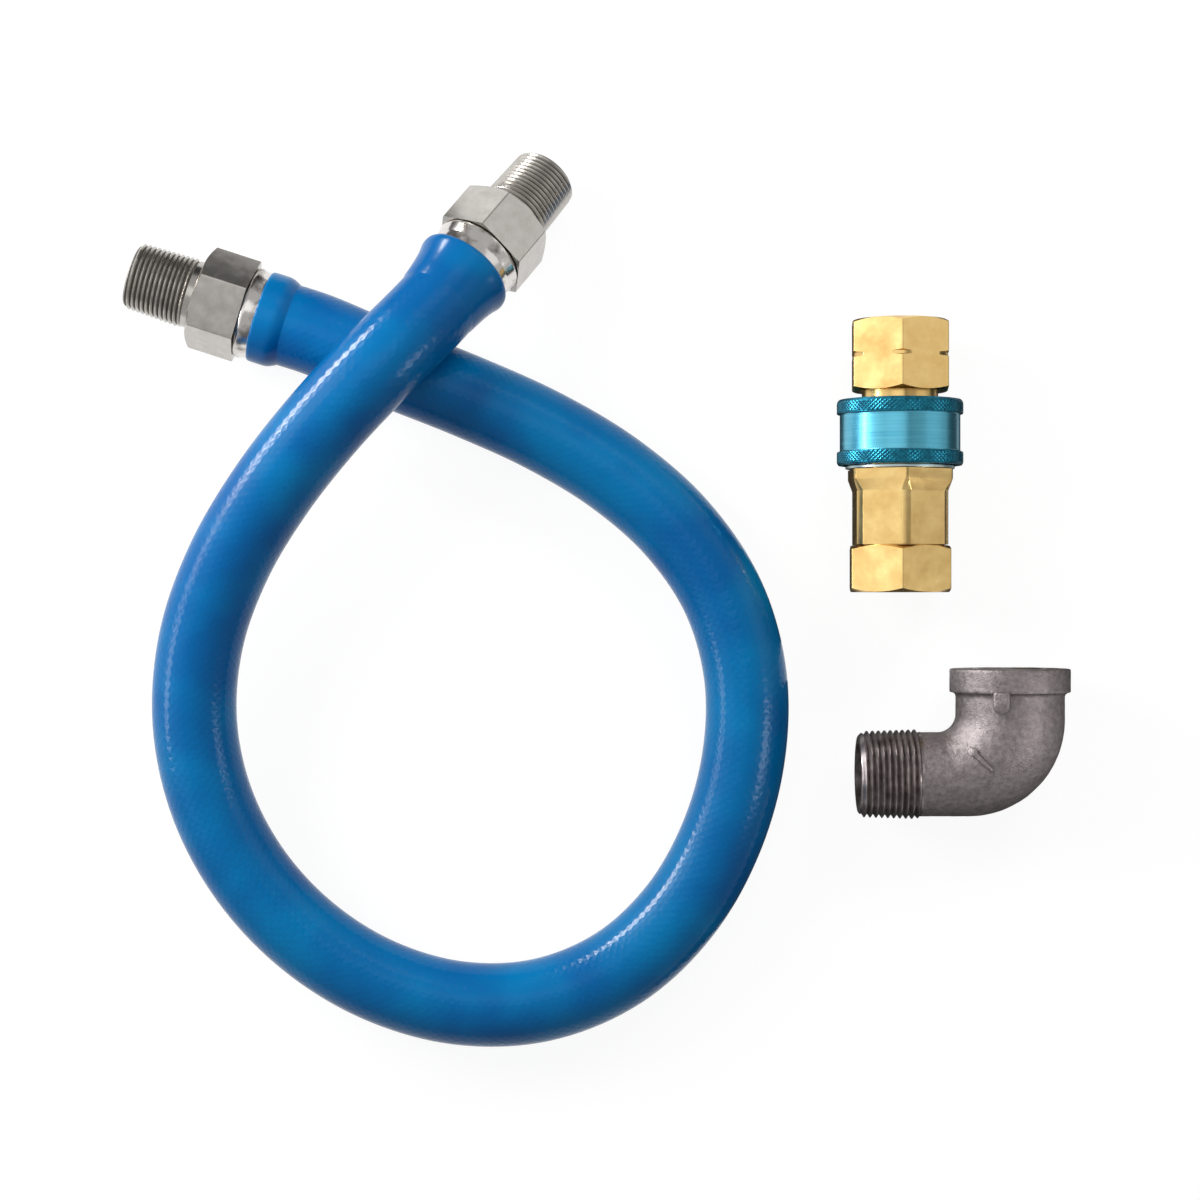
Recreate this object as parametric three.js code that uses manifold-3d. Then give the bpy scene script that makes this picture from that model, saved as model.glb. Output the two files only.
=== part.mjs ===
// Coated gas connector hose with its quick-disconnect coupling and street elbow.
// Millimetres, +Z up. The kit lies on a floor at z = 0; the origin is the middle of its footprint.
import * as THREE from 'three';
import { mergeVertices } from 'three/addons/utils/BufferGeometryUtils.js';
import Module from 'manifold-3d';

const wasm = await Module();
wasm.setup();

// ---------------------------------------------------------------- driving dimensions

const gap = 0.3; // left between pieces that touch
const cutSpare = 1; // how far a cutting shape stands past what it cuts
const flowBore = 19.2; // gas way through the fittings and the coupling
const flowRadius = flowBore / 2;
const faceInset = 0.4; // chamfer circle of a hex face, inside its flats

// taper pipe threads: outside diameter at the root, pitch, depth, and how they narrow
const threeQuarterPipe = { outer: 26.67, pitch: 1.814, depth: 1.2 };
const oneInchPipe = { outer: 33.4, pitch: 2.209, depth: 1.45 };
const threadTaper = 1 / 16; // on the diameter
const socketMouth = 27.2; // countersink of a female three-quarter end
const socketBore = 24.6; // bore of a female three-quarter end
const socketDepth = 17;
const mouthDepth = 1.5; // height of the countersink, and of the step at the socket's foot

// hose: coating over braid over core
const hoseOuter = 31.2;
const coatingWall = 1.7;
const braidWall = 0.8;
const coreWall = 2.4;
const hoseSides = 12;
const hoseSteps = 34;

// route of the hose's middle line, from fitting a round the loop to fitting b
const hoseRoute = [
  [-117.1, 103.1, 18.4],
  [-103.8, 98.8, 18.3],
  [-77.0, 87.4, 17.4],
  [-48.1, 76.0, 16.3],
  [-19.7, 63.2, 15.8],
  [6.9, 47.2, 15.7],
  [30.2, 26.7, 15.7],
  [47.5, 1.0, 15.7],
  [55.8, -28.9, 15.7],
  [54.9, -59.8, 15.7],
  [46.4, -89.7, 15.7],
  [31.0, -116.6, 15.7],
  [8.4, -137.7, 15.7],
  [-20.2, -149.6, 15.7],
  [-51.1, -150.8, 15.8],
  [-80.9, -142.3, 16.5],
  [-107.2, -125.9, 17.8],
  [-128.3, -103.2, 19.9],
  [-142.5, -75.8, 22.9],
  [-148.4, -45.6, 26.8],
  [-145.4, -15.1, 31.6],
  [-134.6, 13.5, 37],
  [-118.5, 39.3, 43.2],
  [-99.3, 62.9, 48.8],
  [-78.1, 85.3, 51.2],
  [-59.4, 105.7, 43.2],
  [-50.6, 117.3, 36.15],
];

// hose end fitting: hex nipple with a male taper thread and a weld tail
const fittingFlats = 34;
const fittingHexLength = 18.5;
const fittingChamfer = 1.6;
const neckLength = 3.4;
const neckDiameter = 25.4;
const maleThreadLength = 22.5;
const tailDiameter = 24.8;
const fittingRollA = 21; // degrees from upright to the nearest hex corner
const fittingRollB = -11.7;

// weld collar between hex and hose
const collarLength = 13.4;
const collarWide = 34.6;
const collarNarrow = 32.4;
const collarShoulder = 5; // below the hex, where the collar starts to narrow
const collarLip = 1.2;
const collarLipChamfer = 0.5;

// blue end cuffs over the collars
const cuffBore = 33.5;
const cuffShowsCollarA = 5.2;
const cuffShowsCollarB = 9;
const beadDiameterA = 34.7;
const beadLengthA = 7.6;
const cuffOverHoseA = 2.6;
const flareDiameterB = 37.2;
const cuffOverHoseB = 14.5;
const cuffEndWall = 0.35;
const beadEdge = 1; // height of the rounding at each end of the bead
const beadEdgeInset = 0.4;
const flareEdge = 0.9;
const flareEdgeInset = 0.5;
const flareFall = [[2.4, 0.9], [5, 0.55], [10, 0.2]]; // below the lip, and the share of flare left

// quick-disconnect coupling, measured up from the face of its lower hex
const couplingAt = [112.7, 2.8];
const bodyFlats = 36.5;
const bodyCorner = 41.5;
const barrelFlats = 33.8;
const barrelCorner = 37;
const plugFlats = 34.9;
// degrees from level to the nearest hex corner, seen from the foot
const plugRoll = 26.3;
const adapterRoll = 26.5;
const barrelRoll = 31;
const hexChamfer = 1.5;
const adapterHexLength = 17.3;
const barrelTop = 37.3;
const shoulderStart = 41.8;
const shoulderTop = 45.4;
const seatRingHeight = 1;
const seatRingOuter = 40.4;
const sleeveLength = 24.2;
const sleeveFootEdge = 0.6;
const sleeveTopEdge = 0.8;
const recessStep = 0.3;
const sleeveOuter = 46.8;
const sleeveRecess = 44.5;
const lowerBandHeight = 4.9;
const upperBandHeight = 5.2;
const skirtBore = 42.2;
const skirtHeight = 6.8;
const springPocket = 40.4;
const plugNeckDiameter = 28.2;
const plugNeckLength = 2.8;
const plugHexLength = 26.6;
const plugGrooveBelowTop = 13.3;
const plugGrooveWidth = 1.1;
const plugGrooveDiameter = 36.8;
const plugNoseChamfer = 1;
const plugShoulderHeight = 0.4;

// ball lock inside the sleeve
const noseOuter = 32;
const noseBore = 27;
const noseEdge = 0.6;
const noseMouthEdge = 0.5;
const noseAboveShoulder = 24.2;
const ballCount = 6;
const ballDiameter = 4.4;
const ballSink = 1.8; // how far a locked ball stands into the nose bore
const ballAboveShoulder = 18.4;
const releaseSlope = 0.3; // ball travel for each unit of sleeve travel
const landHeight = 4.4;
const lockGrooveWidth = 3.2;
const ringThickness = 1.2;
const ringGrooveDepth = 0.8;
const ringBelowNose = 2;
const sleeveSpringWire = 1.5;
const sleeveSpringTurns = 3;

// valve inside the socket
const seatBore = 22;
const seatTop = 39.5;
const seatWall = 2.5;
const chamberBore = 27.6;
const adapterPilot = 29.2;
const pilotLength = 3.4;
const guideThickness = 2;
const guideWindowMiddle = 9;
const guideWindow = 6.8;
const guideWindows = 4;
const stemDiameter = 4.8;
const stemChamfer = 0.5;
const stemBelowGuide = 1.2;
const poppetLift = 3; // how far the open poppet stands off its seat
const poppetHeadDiameter = 24.4;
const poppetHeadHeight = 1.5;
const poppetSealHeight = 1.2;
const crownOuter = 21.4;
const crownBore = 17.8;
const crownWindow = 6;
const crownRim = 1.7;
const crownSill = 0.8;
const crownFloor = 0.5;
const poppetSpringWire = 1.2;
const poppetSpringDiameter = 13;
const poppetSpringTurns = 3;
const sealSection = 1.9;
const plugSealHeight = 43.5;
const adapterSealSection = 1.6;

// street elbow
const elbowAt = [153.7, -64.8];
const elbowFemaleLength = 39.3;
const elbowMaleLength = 56.4;
const bandDiameter = 44.8;
const bandHeight = 9;
const bandEdge = 0.8;
const elbowNeck = 40.4;
const elbowBody = 31.4;
const elbowMaleThread = 22.4;
const elbowThreadOverlap = 2; // how far the threaded end runs into the bend
const elbowThreadInset = 0.2;
const elbowWayMale = 23;
const wayBend = 16; // middle line of the gas way's bend
const innerFillet = 6.6;
const outerBend = 35.8;
const lugWidth = 5.6;
const lugDrop = 7.4;
const lugProud = 1.5;
const lugTurn = -17; // degrees round the female end, from its top
const lugOverlap = 2; // how far the lug runs into the band
const lugArcSegments = 3;
const tickLength = 11.5;
const tickWidth = 1.5;
const tickHeadTop = 18; // above the elbow's axes, at the end nearer the female end
const tickTailTop = 20;
const tickAt = [-13.2, 6.2];
const tickTurn = -45;

// facets
const roundSides = 24;
const sleeveSides = 30;
const wireSides = 6; // round a spring's wire or a seal
const wireStepsPerTurn = 10;
const ballHoleSides = 12;
const guideWindowSides = 12;
const elbowArcSteps = 7;
const wayArcSteps = 6;
const waySides = 20;

// ---------------------------------------------------------------- materials

const finish = (color, roughness, metalness) => {
  return new THREE.MeshStandardMaterial({ color, roughness, metalness });
};
const blueCoating = finish('#0a63ad', 0.32, 0);
const braidSteel = finish('#9fa2a4', 0.45, 1);
const stainless = finish('#b6b2ad', 0.38, 1);
const polishedSteel = finish('#cfccc8', 0.22, 1);
const brass = finish('#d8ab5b', 0.26, 1);
const blueAnodised = finish('#1f86a6', 0.3, 0.9);
const paleZinc = finish('#c9d3d2', 0.4, 0.8);
const springSteel = finish('#8c8f92', 0.35, 1);
const blackRubber = finish('#1c1c1e', 0.75, 0);
const castIron = finish('#4d484a', 0.62, 0.7);

// ---------------------------------------------------------------- solids

// A closed mesh with merged corners whose faces point outwards.
function closed(geometry) {
  const bare = geometry.clone();
  for (const name of Object.keys(bare.attributes)) {
    if (name !== 'position') bare.deleteAttribute(name);
  }
  const merged = mergeVertices(bare, 1e-4);
  const position = merged.attributes.position;
  const index = Array.from(merged.index.array);
  const corners = [];
  let volume = 0;
  for (let i = 0; i < index.length; i += 3) {
    const [a, b, c] = [index[i], index[i + 1], index[i + 2]];
    if (a === b || b === c || c === a) continue;
    corners.push(a, b, c);
    const pa = new THREE.Vector3().fromBufferAttribute(position, a);
    const pb = new THREE.Vector3().fromBufferAttribute(position, b);
    const pc = new THREE.Vector3().fromBufferAttribute(position, c);
    volume += pa.dot(pb.cross(pc));
  }
  if (volume < 0) corners.reverse();
  merged.setIndex(corners);
  return merged;
}

function toManifold(geometry) {
  const solid = closed(geometry);
  return new wasm.Manifold(new wasm.Mesh({
    numProp: 3,
    vertProperties: Float32Array.from(solid.attributes.position.array),
    triVerts: Uint32Array.from(solid.index.array),
  }));
}

function fromManifold(manifold) {
  const mesh = manifold.getMesh();
  const geometry = new THREE.BufferGeometry();
  geometry.setAttribute('position', new THREE.BufferAttribute(new Float32Array(mesh.vertProperties), 3));
  geometry.setIndex(new THREE.BufferAttribute(new Uint32Array(mesh.triVerts), 1));
  return geometry;
}

// A turned piece about +Z from a closed profile of [radius, height] points.
function turned(profile, sides = roundSides, roll = 0) {
  const points = profile.map(([radius, height]) => new THREE.Vector2(radius, height));
  const first = points[0];
  const last = points[points.length - 1];
  const onAxis = first.x === 0 && last.x === 0;
  if (!onAxis) points.push(first.clone());
  const start = THREE.MathUtils.degToRad(90 + roll);
  const geometry = new THREE.LatheGeometry(points, sides, start, 2 * Math.PI);
  geometry.rotateX(Math.PI / 2);
  return closed(geometry);
}

// A hexagonal bar about +Z whose across-flats size changes along [flats, height] points.
function hexagonal(profile, roll) {
  const cornerPoints = profile.map(([flats, height]) => [flats / Math.sqrt(3), height]);
  const low = cornerPoints[0][1];
  const high = cornerPoints[cornerPoints.length - 1][1];
  return turned([[0, low], ...cornerPoints, [0, high]], 6, roll);
}

// Crests and roots of a taper thread from its root plane up to its free end.
function threadProfile(pipe, rootHeight, length) {
  const points = [];
  const turns = Math.floor(length / pipe.pitch);
  for (let i = 0; i < turns; i += 1) {
    const crestAt = rootHeight + (i + 0.5) * pipe.pitch;
    const rootAt = crestAt + 0.5 * pipe.pitch;
    const crest = pipe.outer / 2 - (crestAt - rootHeight) * threadTaper / 2;
    const root = pipe.outer / 2 - pipe.depth - (rootAt - rootHeight) * threadTaper / 2;
    points.push([crest, crestAt]);
    if (i < turns - 1) points.push([root, rootAt]);
  }
  const endRadius = pipe.outer / 2 - pipe.depth - length * threadTaper / 2;
  points.push([endRadius, rootHeight + length]);
  return points;
}

// A round wire wound about +Z, with its two ends closed flat against their seats.
function windSpring(meanRadius, wire, turns, low, high) {
  const steps = Math.round(turns * wireStepsPerTurn);
  const bottom = low + wire / 2;
  const rise = high - low - wire;
  const rings = [];
  for (let i = 0; i <= steps; i += 1) {
    const share = i / steps;
    const angle = share * turns * 2 * Math.PI;
    const outward = new THREE.Vector3(Math.cos(angle), Math.sin(angle), 0);
    const centre = outward.clone().multiplyScalar(meanRadius);
    centre.z = bottom + rise * share;
    const ring = [];
    for (let k = 0; k < wireSides; k += 1) {
      const turn = (k / wireSides) * 2 * Math.PI;
      const point = centre.clone().addScaledVector(outward, Math.cos(turn) * wire / 2);
      point.z += Math.sin(turn) * wire / 2;
      ring.push(point);
    }
    rings.push(ring);
  }
  return loft(rings);
}

// A skin over rings of equally many points, closed by a flat fan at both ends.
function loft(rings) {
  const sides = rings[0].length;
  const positions = [];
  const index = [];
  for (const ring of rings) {
    for (const point of ring) positions.push(point.x, point.y, point.z);
  }
  for (let i = 0; i < rings.length - 1; i += 1) {
    for (let k = 0; k < sides; k += 1) {
      const a = i * sides + k;
      const b = i * sides + (k + 1) % sides;
      index.push(a, b, b + sides, a, b + sides, a + sides);
    }
  }
  const lastRing = (rings.length - 1) * sides;
  for (let k = 1; k < sides - 1; k += 1) {
    index.push(0, k + 1, k);
    index.push(lastRing, lastRing + k, lastRing + k + 1);
  }
  const geometry = new THREE.BufferGeometry();
  geometry.setAttribute('position', new THREE.Float32BufferAttribute(positions, 3));
  geometry.setIndex(index);
  return closed(geometry);
}

function piece(name, geometry, material) {
  const mesh = new THREE.Mesh(geometry, material);
  mesh.name = name;
  return mesh;
}

const kit = new THREE.Group();

// ---------------------------------------------------------------- hose

const routePoints = hoseRoute.map(([x, y, z]) => new THREE.Vector3(x, y, z));
const routeCurve = new THREE.CatmullRomCurve3(routePoints, false, 'centripetal');

// A tube wall along the route, between two flat-topped polygons of the given across-flats sizes.
function hoseTube(outerFlats, innerFlats) {
  const corner = (flats, k) => {
    const angle = ((k + 0.5) / hoseSides) * 2 * Math.PI;
    const radius = flats / 2 / Math.cos(Math.PI / hoseSides);
    return new THREE.Vector2(radius * Math.cos(angle), radius * Math.sin(angle));
  };
  const ring = (flats) => Array.from({ length: hoseSides }, (_, k) => corner(flats, k));
  const section = new THREE.Shape(ring(outerFlats));
  section.holes.push(new THREE.Path(ring(innerFlats).reverse()));
  return closed(new THREE.ExtrudeGeometry(section, { steps: hoseSteps, extrudePath: routeCurve }));
}

const coatingBore = hoseOuter - 2 * coatingWall;
const braidOuter = coatingBore - 2 * gap;
const braidBore = braidOuter - 2 * braidWall;
const coreOuter = braidBore - 2 * gap;
const coreBore = coreOuter - 2 * coreWall;

kit.add(piece('hose_jacket', hoseTube(hoseOuter, coatingBore), blueCoating));
kit.add(piece('hose_braid', hoseTube(braidOuter, braidBore), braidSteel));
kit.add(piece('hose_core', hoseTube(coreOuter, coreBore), stainless));

// ---------------------------------------------------------------- hose end fittings

const fittingBase = gap;
const collarTop = fittingBase + collarLength;
const fittingHexStart = collarTop + gap;
const fittingHexEnd = fittingHexStart + fittingHexLength;
const fittingThreadStart = fittingHexEnd + neckLength;

function endFitting() {
  const flatsRadius = fittingFlats / 2;
  const cornerRadius = fittingFlats / Math.sqrt(3);
  const freeEnd = fittingThreadStart + maleThreadLength;
  const profile = [
    [flowRadius, fittingBase],
    [tailDiameter / 2, fittingBase],
    [tailDiameter / 2, fittingHexStart],
    [cornerRadius, fittingHexStart],
    [cornerRadius, fittingHexEnd - fittingChamfer],
    [flatsRadius - faceInset, fittingHexEnd],
    [neckDiameter / 2, fittingHexEnd],
    [neckDiameter / 2, fittingThreadStart],
    ...threadProfile(threeQuarterPipe, fittingThreadStart, maleThreadLength),
    [flowRadius, freeEnd],
  ];
  const hex = hexagonal([[fittingFlats, fittingBase - cutSpare], [fittingFlats, freeEnd + cutSpare]], 0);
  return fromManifold(toManifold(hex).intersect(toManifold(turned(profile))));
}

function weldCollar() {
  const bore = tailDiameter / 2 + gap;
  return turned([
    [bore, fittingBase],
    [collarNarrow / 2, fittingBase],
    [collarNarrow / 2, collarTop - collarShoulder],
    [collarWide / 2, collarTop - collarLip],
    [collarWide / 2 - collarLipChamfer, collarTop],
    [bore, collarTop],
  ]);
}

function beadCuff() {
  const lip = collarTop - cuffShowsCollarA;
  const bore = cuffBore / 2;
  const bead = beadDiameterA / 2;
  return turned([
    [bore, lip],
    [bead - beadEdgeInset, lip],
    [bead, lip - beadEdge],
    [bead, lip - beadLengthA + beadEdge],
    [bead - beadEdgeInset, lip - beadLengthA],
    [bore + cuffEndWall, -cuffOverHoseA],
    [bore, -cuffOverHoseA],
  ]);
}

function flaredCuff() {
  const lip = collarTop - cuffShowsCollarB;
  const bore = cuffBore / 2;
  const flare = flareDiameterB / 2;
  const thin = bore + cuffEndWall;
  return turned([
    [bore, lip],
    [flare - flareEdgeInset, lip],
    [flare, lip - flareEdge],
    ...flareFall.map(([below, left]) => [thin + (flare - thin) * left, lip - below]),
    [thin, -cuffOverHoseB],
    [bore, -cuffOverHoseB],
  ]);
}

// A hose end is built about +Z with z = 0 on the cut face of the hose, then laid along the route.
function hoseEnd(letter, hoseFace, hoseInside, roll, cuffGeometry) {
  const end = new THREE.Group();
  const along = hoseFace.clone().sub(hoseInside).normalize();
  const sideways = new THREE.Vector3().crossVectors(along, new THREE.Vector3(0, 0, 1)).normalize();
  const upright = new THREE.Vector3().crossVectors(sideways, along);
  const rollAngle = THREE.MathUtils.degToRad(roll);
  const cornerWay = upright.multiplyScalar(Math.cos(rollAngle));
  cornerWay.addScaledVector(sideways, Math.sin(rollAngle));
  const third = new THREE.Vector3().crossVectors(along, cornerWay);
  const turn = new THREE.Matrix4().makeBasis(cornerWay, third, along);
  end.quaternion.setFromRotationMatrix(turn);
  end.position.copy(hoseFace);
  end.add(piece(`end_fitting_${letter}`, endFitting(), stainless));
  end.add(piece(`weld_collar_${letter}`, weldCollar(), polishedSteel));
  end.add(piece(`end_cuff_${letter}`, cuffGeometry, blueCoating));
  return end;
}

const lastPoint = routePoints.length - 1;
kit.add(hoseEnd('a', routePoints[0], routePoints[1], fittingRollA, beadCuff()));
kit.add(hoseEnd('b', routePoints[lastPoint], routePoints[lastPoint - 1], fittingRollB, flaredCuff()));

// ---------------------------------------------------------------- coupling: outer shells

const plugBottom = shoulderTop + seatRingHeight + 2 * gap + sleeveLength + gap;
const plugHexStart = plugBottom + plugNeckLength;
const plugTop = plugHexStart + plugHexLength;
const sleeveBottom = shoulderTop + seatRingHeight + 2 * gap;
const sleeveTop = sleeveBottom + sleeveLength;
const noseTop = shoulderTop + noseAboveShoulder;
const ballHeight = shoulderTop + ballAboveShoulder;
const ballRadius = ballDiameter / 2;
const ballCentre = noseBore / 2 - ballSink + ballRadius;
const landRadius = ballCentre + ballRadius + gap;
const noseTipHeight = seatTop + gap;
const socketStart = adapterHexLength + gap;
const pilotTop = adapterHexLength + pilotLength;
const adapterSealHeight = adapterHexLength + pilotLength / 2;
const guideBottom = pilotTop + gap;
const guideTop = guideBottom + guideThickness;
const chamberBottom = guideTop + gap;
const seatBottom = seatTop - seatWall;

function cutHoles(solid, holes) {
  let result = solid;
  for (const hole of holes) result = result.subtract(toManifold(hole));
  return result;
}

function plugBody() {
  const flats = plugFlats / 2;
  const corner = plugFlats / Math.sqrt(3);
  const grooveMiddle = plugTop - plugGrooveBelowTop;
  const plugNose = noseBore / 2 - gap;
  const lockGroove = ballCentre - ballRadius - gap;
  const flank = plugNose - lockGroove;
  const halfGroove = lockGrooveWidth / 2;
  const profile = [
    [flowRadius, noseTipHeight],
    [plugNose - plugNoseChamfer, noseTipHeight],
    [plugNose, noseTipHeight + plugNoseChamfer],
    [plugNose, ballHeight - halfGroove - flank],
    [lockGroove, ballHeight - halfGroove],
    [lockGroove, ballHeight + halfGroove],
    [plugNose, ballHeight + halfGroove + flank],
    [plugNose, noseTop + 2 * gap],
    [plugNeckDiameter / 2, noseTop + 2 * gap + plugShoulderHeight],
    [plugNeckDiameter / 2, plugHexStart],
    [flats - faceInset, plugHexStart],
    [corner, plugHexStart + hexChamfer],
    [corner, grooveMiddle - plugGrooveWidth],
    [plugGrooveDiameter / 2, grooveMiddle - plugGrooveWidth / 2],
    [plugGrooveDiameter / 2, grooveMiddle + plugGrooveWidth / 2],
    [corner, grooveMiddle + plugGrooveWidth],
    [corner, plugTop - hexChamfer],
    [flats - faceInset, plugTop],
    [socketMouth / 2, plugTop],
    [socketBore / 2, plugTop - mouthDepth],
    [socketBore / 2, plugTop - socketDepth],
    [flowRadius, plugTop - socketDepth - mouthDepth],
  ];
  const hex = hexagonal([
    [plugFlats, noseTipHeight - cutSpare],
    [plugFlats, plugTop + cutSpare],
  ], plugRoll);
  return fromManifold(toManifold(hex).intersect(toManifold(turned(profile))));
}

function socketBody() {
  const sealGroove = noseBore / 2 + sealSection + gap;
  const halfSeal = sealSection / 2 + gap;
  const ringGroove = noseOuter / 2 - ringGrooveDepth;
  const ringTop = noseTop - ringBelowNose;
  const profile = [
    [adapterPilot / 2 + gap, socketStart],
    [barrelCorner / 2, socketStart],
    [barrelCorner / 2, barrelTop],
    [bodyCorner / 2, shoulderStart],
    [bodyCorner / 2, shoulderTop],
    [noseOuter / 2, shoulderTop],
    [noseOuter / 2, ringTop - ringThickness - gap],
    [ringGroove, ringTop - ringThickness - gap],
    [ringGroove, ringTop + gap],
    [noseOuter / 2, ringTop + gap],
    [noseOuter / 2, noseTop - noseEdge],
    [noseOuter / 2 - noseEdge, noseTop],
    [noseBore / 2 + noseMouthEdge, noseTop],
    [noseBore / 2, noseTop - noseMouthEdge],
    [noseBore / 2, plugSealHeight + halfSeal],
    [sealGroove, plugSealHeight + halfSeal],
    [sealGroove, plugSealHeight - halfSeal],
    [noseBore / 2, plugSealHeight - halfSeal],
    [noseBore / 2, seatTop],
    [seatBore / 2, seatTop],
    [seatBore / 2, seatBottom],
    [chamberBore / 2, seatBottom],
    [chamberBore / 2, chamberBottom],
    [adapterPilot / 2 + gap, chamberBottom],
  ];
  const outside = hexagonal([
    [barrelFlats, socketStart - cutSpare],
    [barrelFlats, barrelTop],
    [bodyFlats, shoulderStart],
    [bodyFlats, noseTop + cutSpare],
  ], barrelRoll);
  const body = toManifold(outside).intersect(toManifold(turned(profile)));
  const noseWall = (noseOuter - noseBore) / 2;
  const holeRadius = ballRadius + gap;
  const holeLength = noseWall + 2 * cutSpare;
  const holes = [];
  for (let i = 0; i < ballCount; i += 1) {
    const hole = new THREE.CylinderGeometry(holeRadius, holeRadius, holeLength, ballHoleSides);
    hole.rotateZ(Math.PI / 2);
    hole.translate((noseBore + noseWall) / 2, 0, ballHeight);
    hole.rotateZ((i / ballCount) * 2 * Math.PI);
    holes.push(hole);
  }
  return fromManifold(cutHoles(body, holes));
}

function socketAdapter() {
  const flats = bodyFlats / 2;
  const corner = bodyFlats / Math.sqrt(3);
  const sealGroove = adapterPilot / 2 - adapterSealSection - gap;
  const halfSeal = adapterSealSection / 2 + gap;
  const profile = [
    [socketMouth / 2, 0],
    [flats - faceInset, 0],
    [corner, hexChamfer],
    [corner, adapterHexLength - hexChamfer],
    [flats - faceInset, adapterHexLength],
    [adapterPilot / 2, adapterHexLength],
    [adapterPilot / 2, adapterSealHeight - halfSeal],
    [sealGroove, adapterSealHeight - halfSeal],
    [sealGroove, adapterSealHeight + halfSeal],
    [adapterPilot / 2, adapterSealHeight + halfSeal],
    [adapterPilot / 2, pilotTop],
    [flowRadius, pilotTop],
    [flowRadius, socketDepth + mouthDepth],
    [socketBore / 2, socketDepth],
    [socketBore / 2, mouthDepth],
  ];
  const hex = hexagonal([[bodyFlats, -cutSpare], [bodyFlats, pilotTop + cutSpare]], adapterRoll);
  return fromManifold(toManifold(hex).intersect(toManifold(turned(profile))));
}

function lockSleeve() {
  const recess = sleeveRecess / 2;
  const outer = sleeveOuter / 2;
  const mouth = landRadius + (sleeveTop - ballHeight) * releaseSlope;
  const skirtTop = sleeveBottom + skirtHeight;
  const landBottom = ballHeight - landHeight;
  return turned([
    [skirtBore / 2, sleeveBottom],
    [outer - sleeveFootEdge, sleeveBottom],
    [outer, sleeveBottom + sleeveFootEdge],
    [outer, sleeveBottom + lowerBandHeight],
    [recess, sleeveBottom + lowerBandHeight + recessStep],
    [recess, sleeveTop - upperBandHeight - recessStep],
    [outer, sleeveTop - upperBandHeight],
    [outer, sleeveTop - sleeveTopEdge],
    [outer - sleeveTopEdge, sleeveTop],
    [mouth, sleeveTop],
    [landRadius, ballHeight],
    [landRadius, landBottom],
    [springPocket / 2, landBottom],
    [springPocket / 2, skirtTop],
    [skirtBore / 2, skirtTop],
  ], sleeveSides);
}

// ---------------------------------------------------------------- coupling: rings, balls, springs

function flatRing(innerRadius, outerRadius, low, high, sides = roundSides) {
  return turned([
    [innerRadius, low],
    [outerRadius, low],
    [outerRadius, high],
    [innerRadius, high],
  ], sides);
}

function sealRing(middleRadius, section, height) {
  const points = [];
  for (let k = 0; k < wireSides; k += 1) {
    const angle = (k / wireSides) * 2 * Math.PI;
    points.push([middleRadius + Math.cos(angle) * section / 2, height + Math.sin(angle) * section / 2]);
  }
  return turned(points);
}

function springSeatRing() {
  const low = shoulderTop + gap;
  return flatRing(noseOuter / 2 + gap, seatRingOuter / 2, low, low + seatRingHeight);
}

function retainingRing() {
  const top = noseTop - ringBelowNose;
  const under = top - ringThickness;
  const coneThere = landRadius + (under - ballHeight) * releaseSlope;
  const inside = noseOuter / 2 - ringGrooveDepth + gap;
  return flatRing(inside, coneThere - gap, under, top, sleeveSides);
}

function lockBall(index) {
  const ball = new THREE.SphereGeometry(ballRadius, 10, 6);
  ball.rotateX(Math.PI / 2);
  ball.translate(ballCentre, 0, ballHeight);
  ball.rotateZ((index / ballCount) * 2 * Math.PI);
  return closed(ball);
}

// ---------------------------------------------------------------- coupling: valve

const headTop = seatBottom - poppetLift - poppetSealHeight;
const headBottom = headTop - poppetHeadHeight;
const springUnderHead = headBottom - gap;

function valvePoppet() {
  const crownTop = noseTipHeight - gap;
  const stemEnd = guideBottom - stemBelowGuide;
  const solid = turned([
    [0, stemEnd],
    [stemDiameter / 2 - stemChamfer, stemEnd],
    [stemDiameter / 2, stemEnd + stemChamfer],
    [stemDiameter / 2, headBottom],
    [poppetHeadDiameter / 2, headBottom],
    [poppetHeadDiameter / 2, headTop],
    [crownOuter / 2, headTop],
    [crownOuter / 2, crownTop],
    [crownBore / 2, crownTop],
    [crownBore / 2, headTop + crownFloor],
    [0, headTop + crownFloor],
  ]);
  const windows = [];
  const windowHeight = crownTop - headTop - crownRim - crownSill;
  for (const turn of [0, Math.PI / 2]) {
    const slot = new THREE.BoxGeometry(crownOuter + 2 * cutSpare, crownWindow, windowHeight);
    slot.translate(0, 0, headTop + crownSill + windowHeight / 2);
    slot.rotateZ(turn);
    windows.push(slot);
  }
  return fromManifold(cutHoles(toManifold(solid), windows));
}

function poppetSeal() {
  const inside = crownOuter / 2 + gap;
  return flatRing(inside, poppetHeadDiameter / 2, headTop + gap, headTop + poppetSealHeight);
}

function valveGuide() {
  const rim = adapterPilot / 2;
  const disc = flatRing(stemDiameter / 2 + gap, rim, guideBottom, guideTop);
  const radius = guideWindow / 2;
  const holeLength = guideThickness + 2 * cutSpare;
  const windows = [];
  for (let i = 0; i < guideWindows; i += 1) {
    const hole = new THREE.CylinderGeometry(radius, radius, holeLength, guideWindowSides);
    hole.rotateX(Math.PI / 2);
    hole.translate(guideWindowMiddle, 0, guideBottom + guideThickness / 2);
    hole.rotateZ(((i + 0.5) / guideWindows) * 2 * Math.PI);
    windows.push(hole);
  }
  return fromManifold(cutHoles(toManifold(disc), windows));
}

// ---------------------------------------------------------------- coupling: assembly

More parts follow.
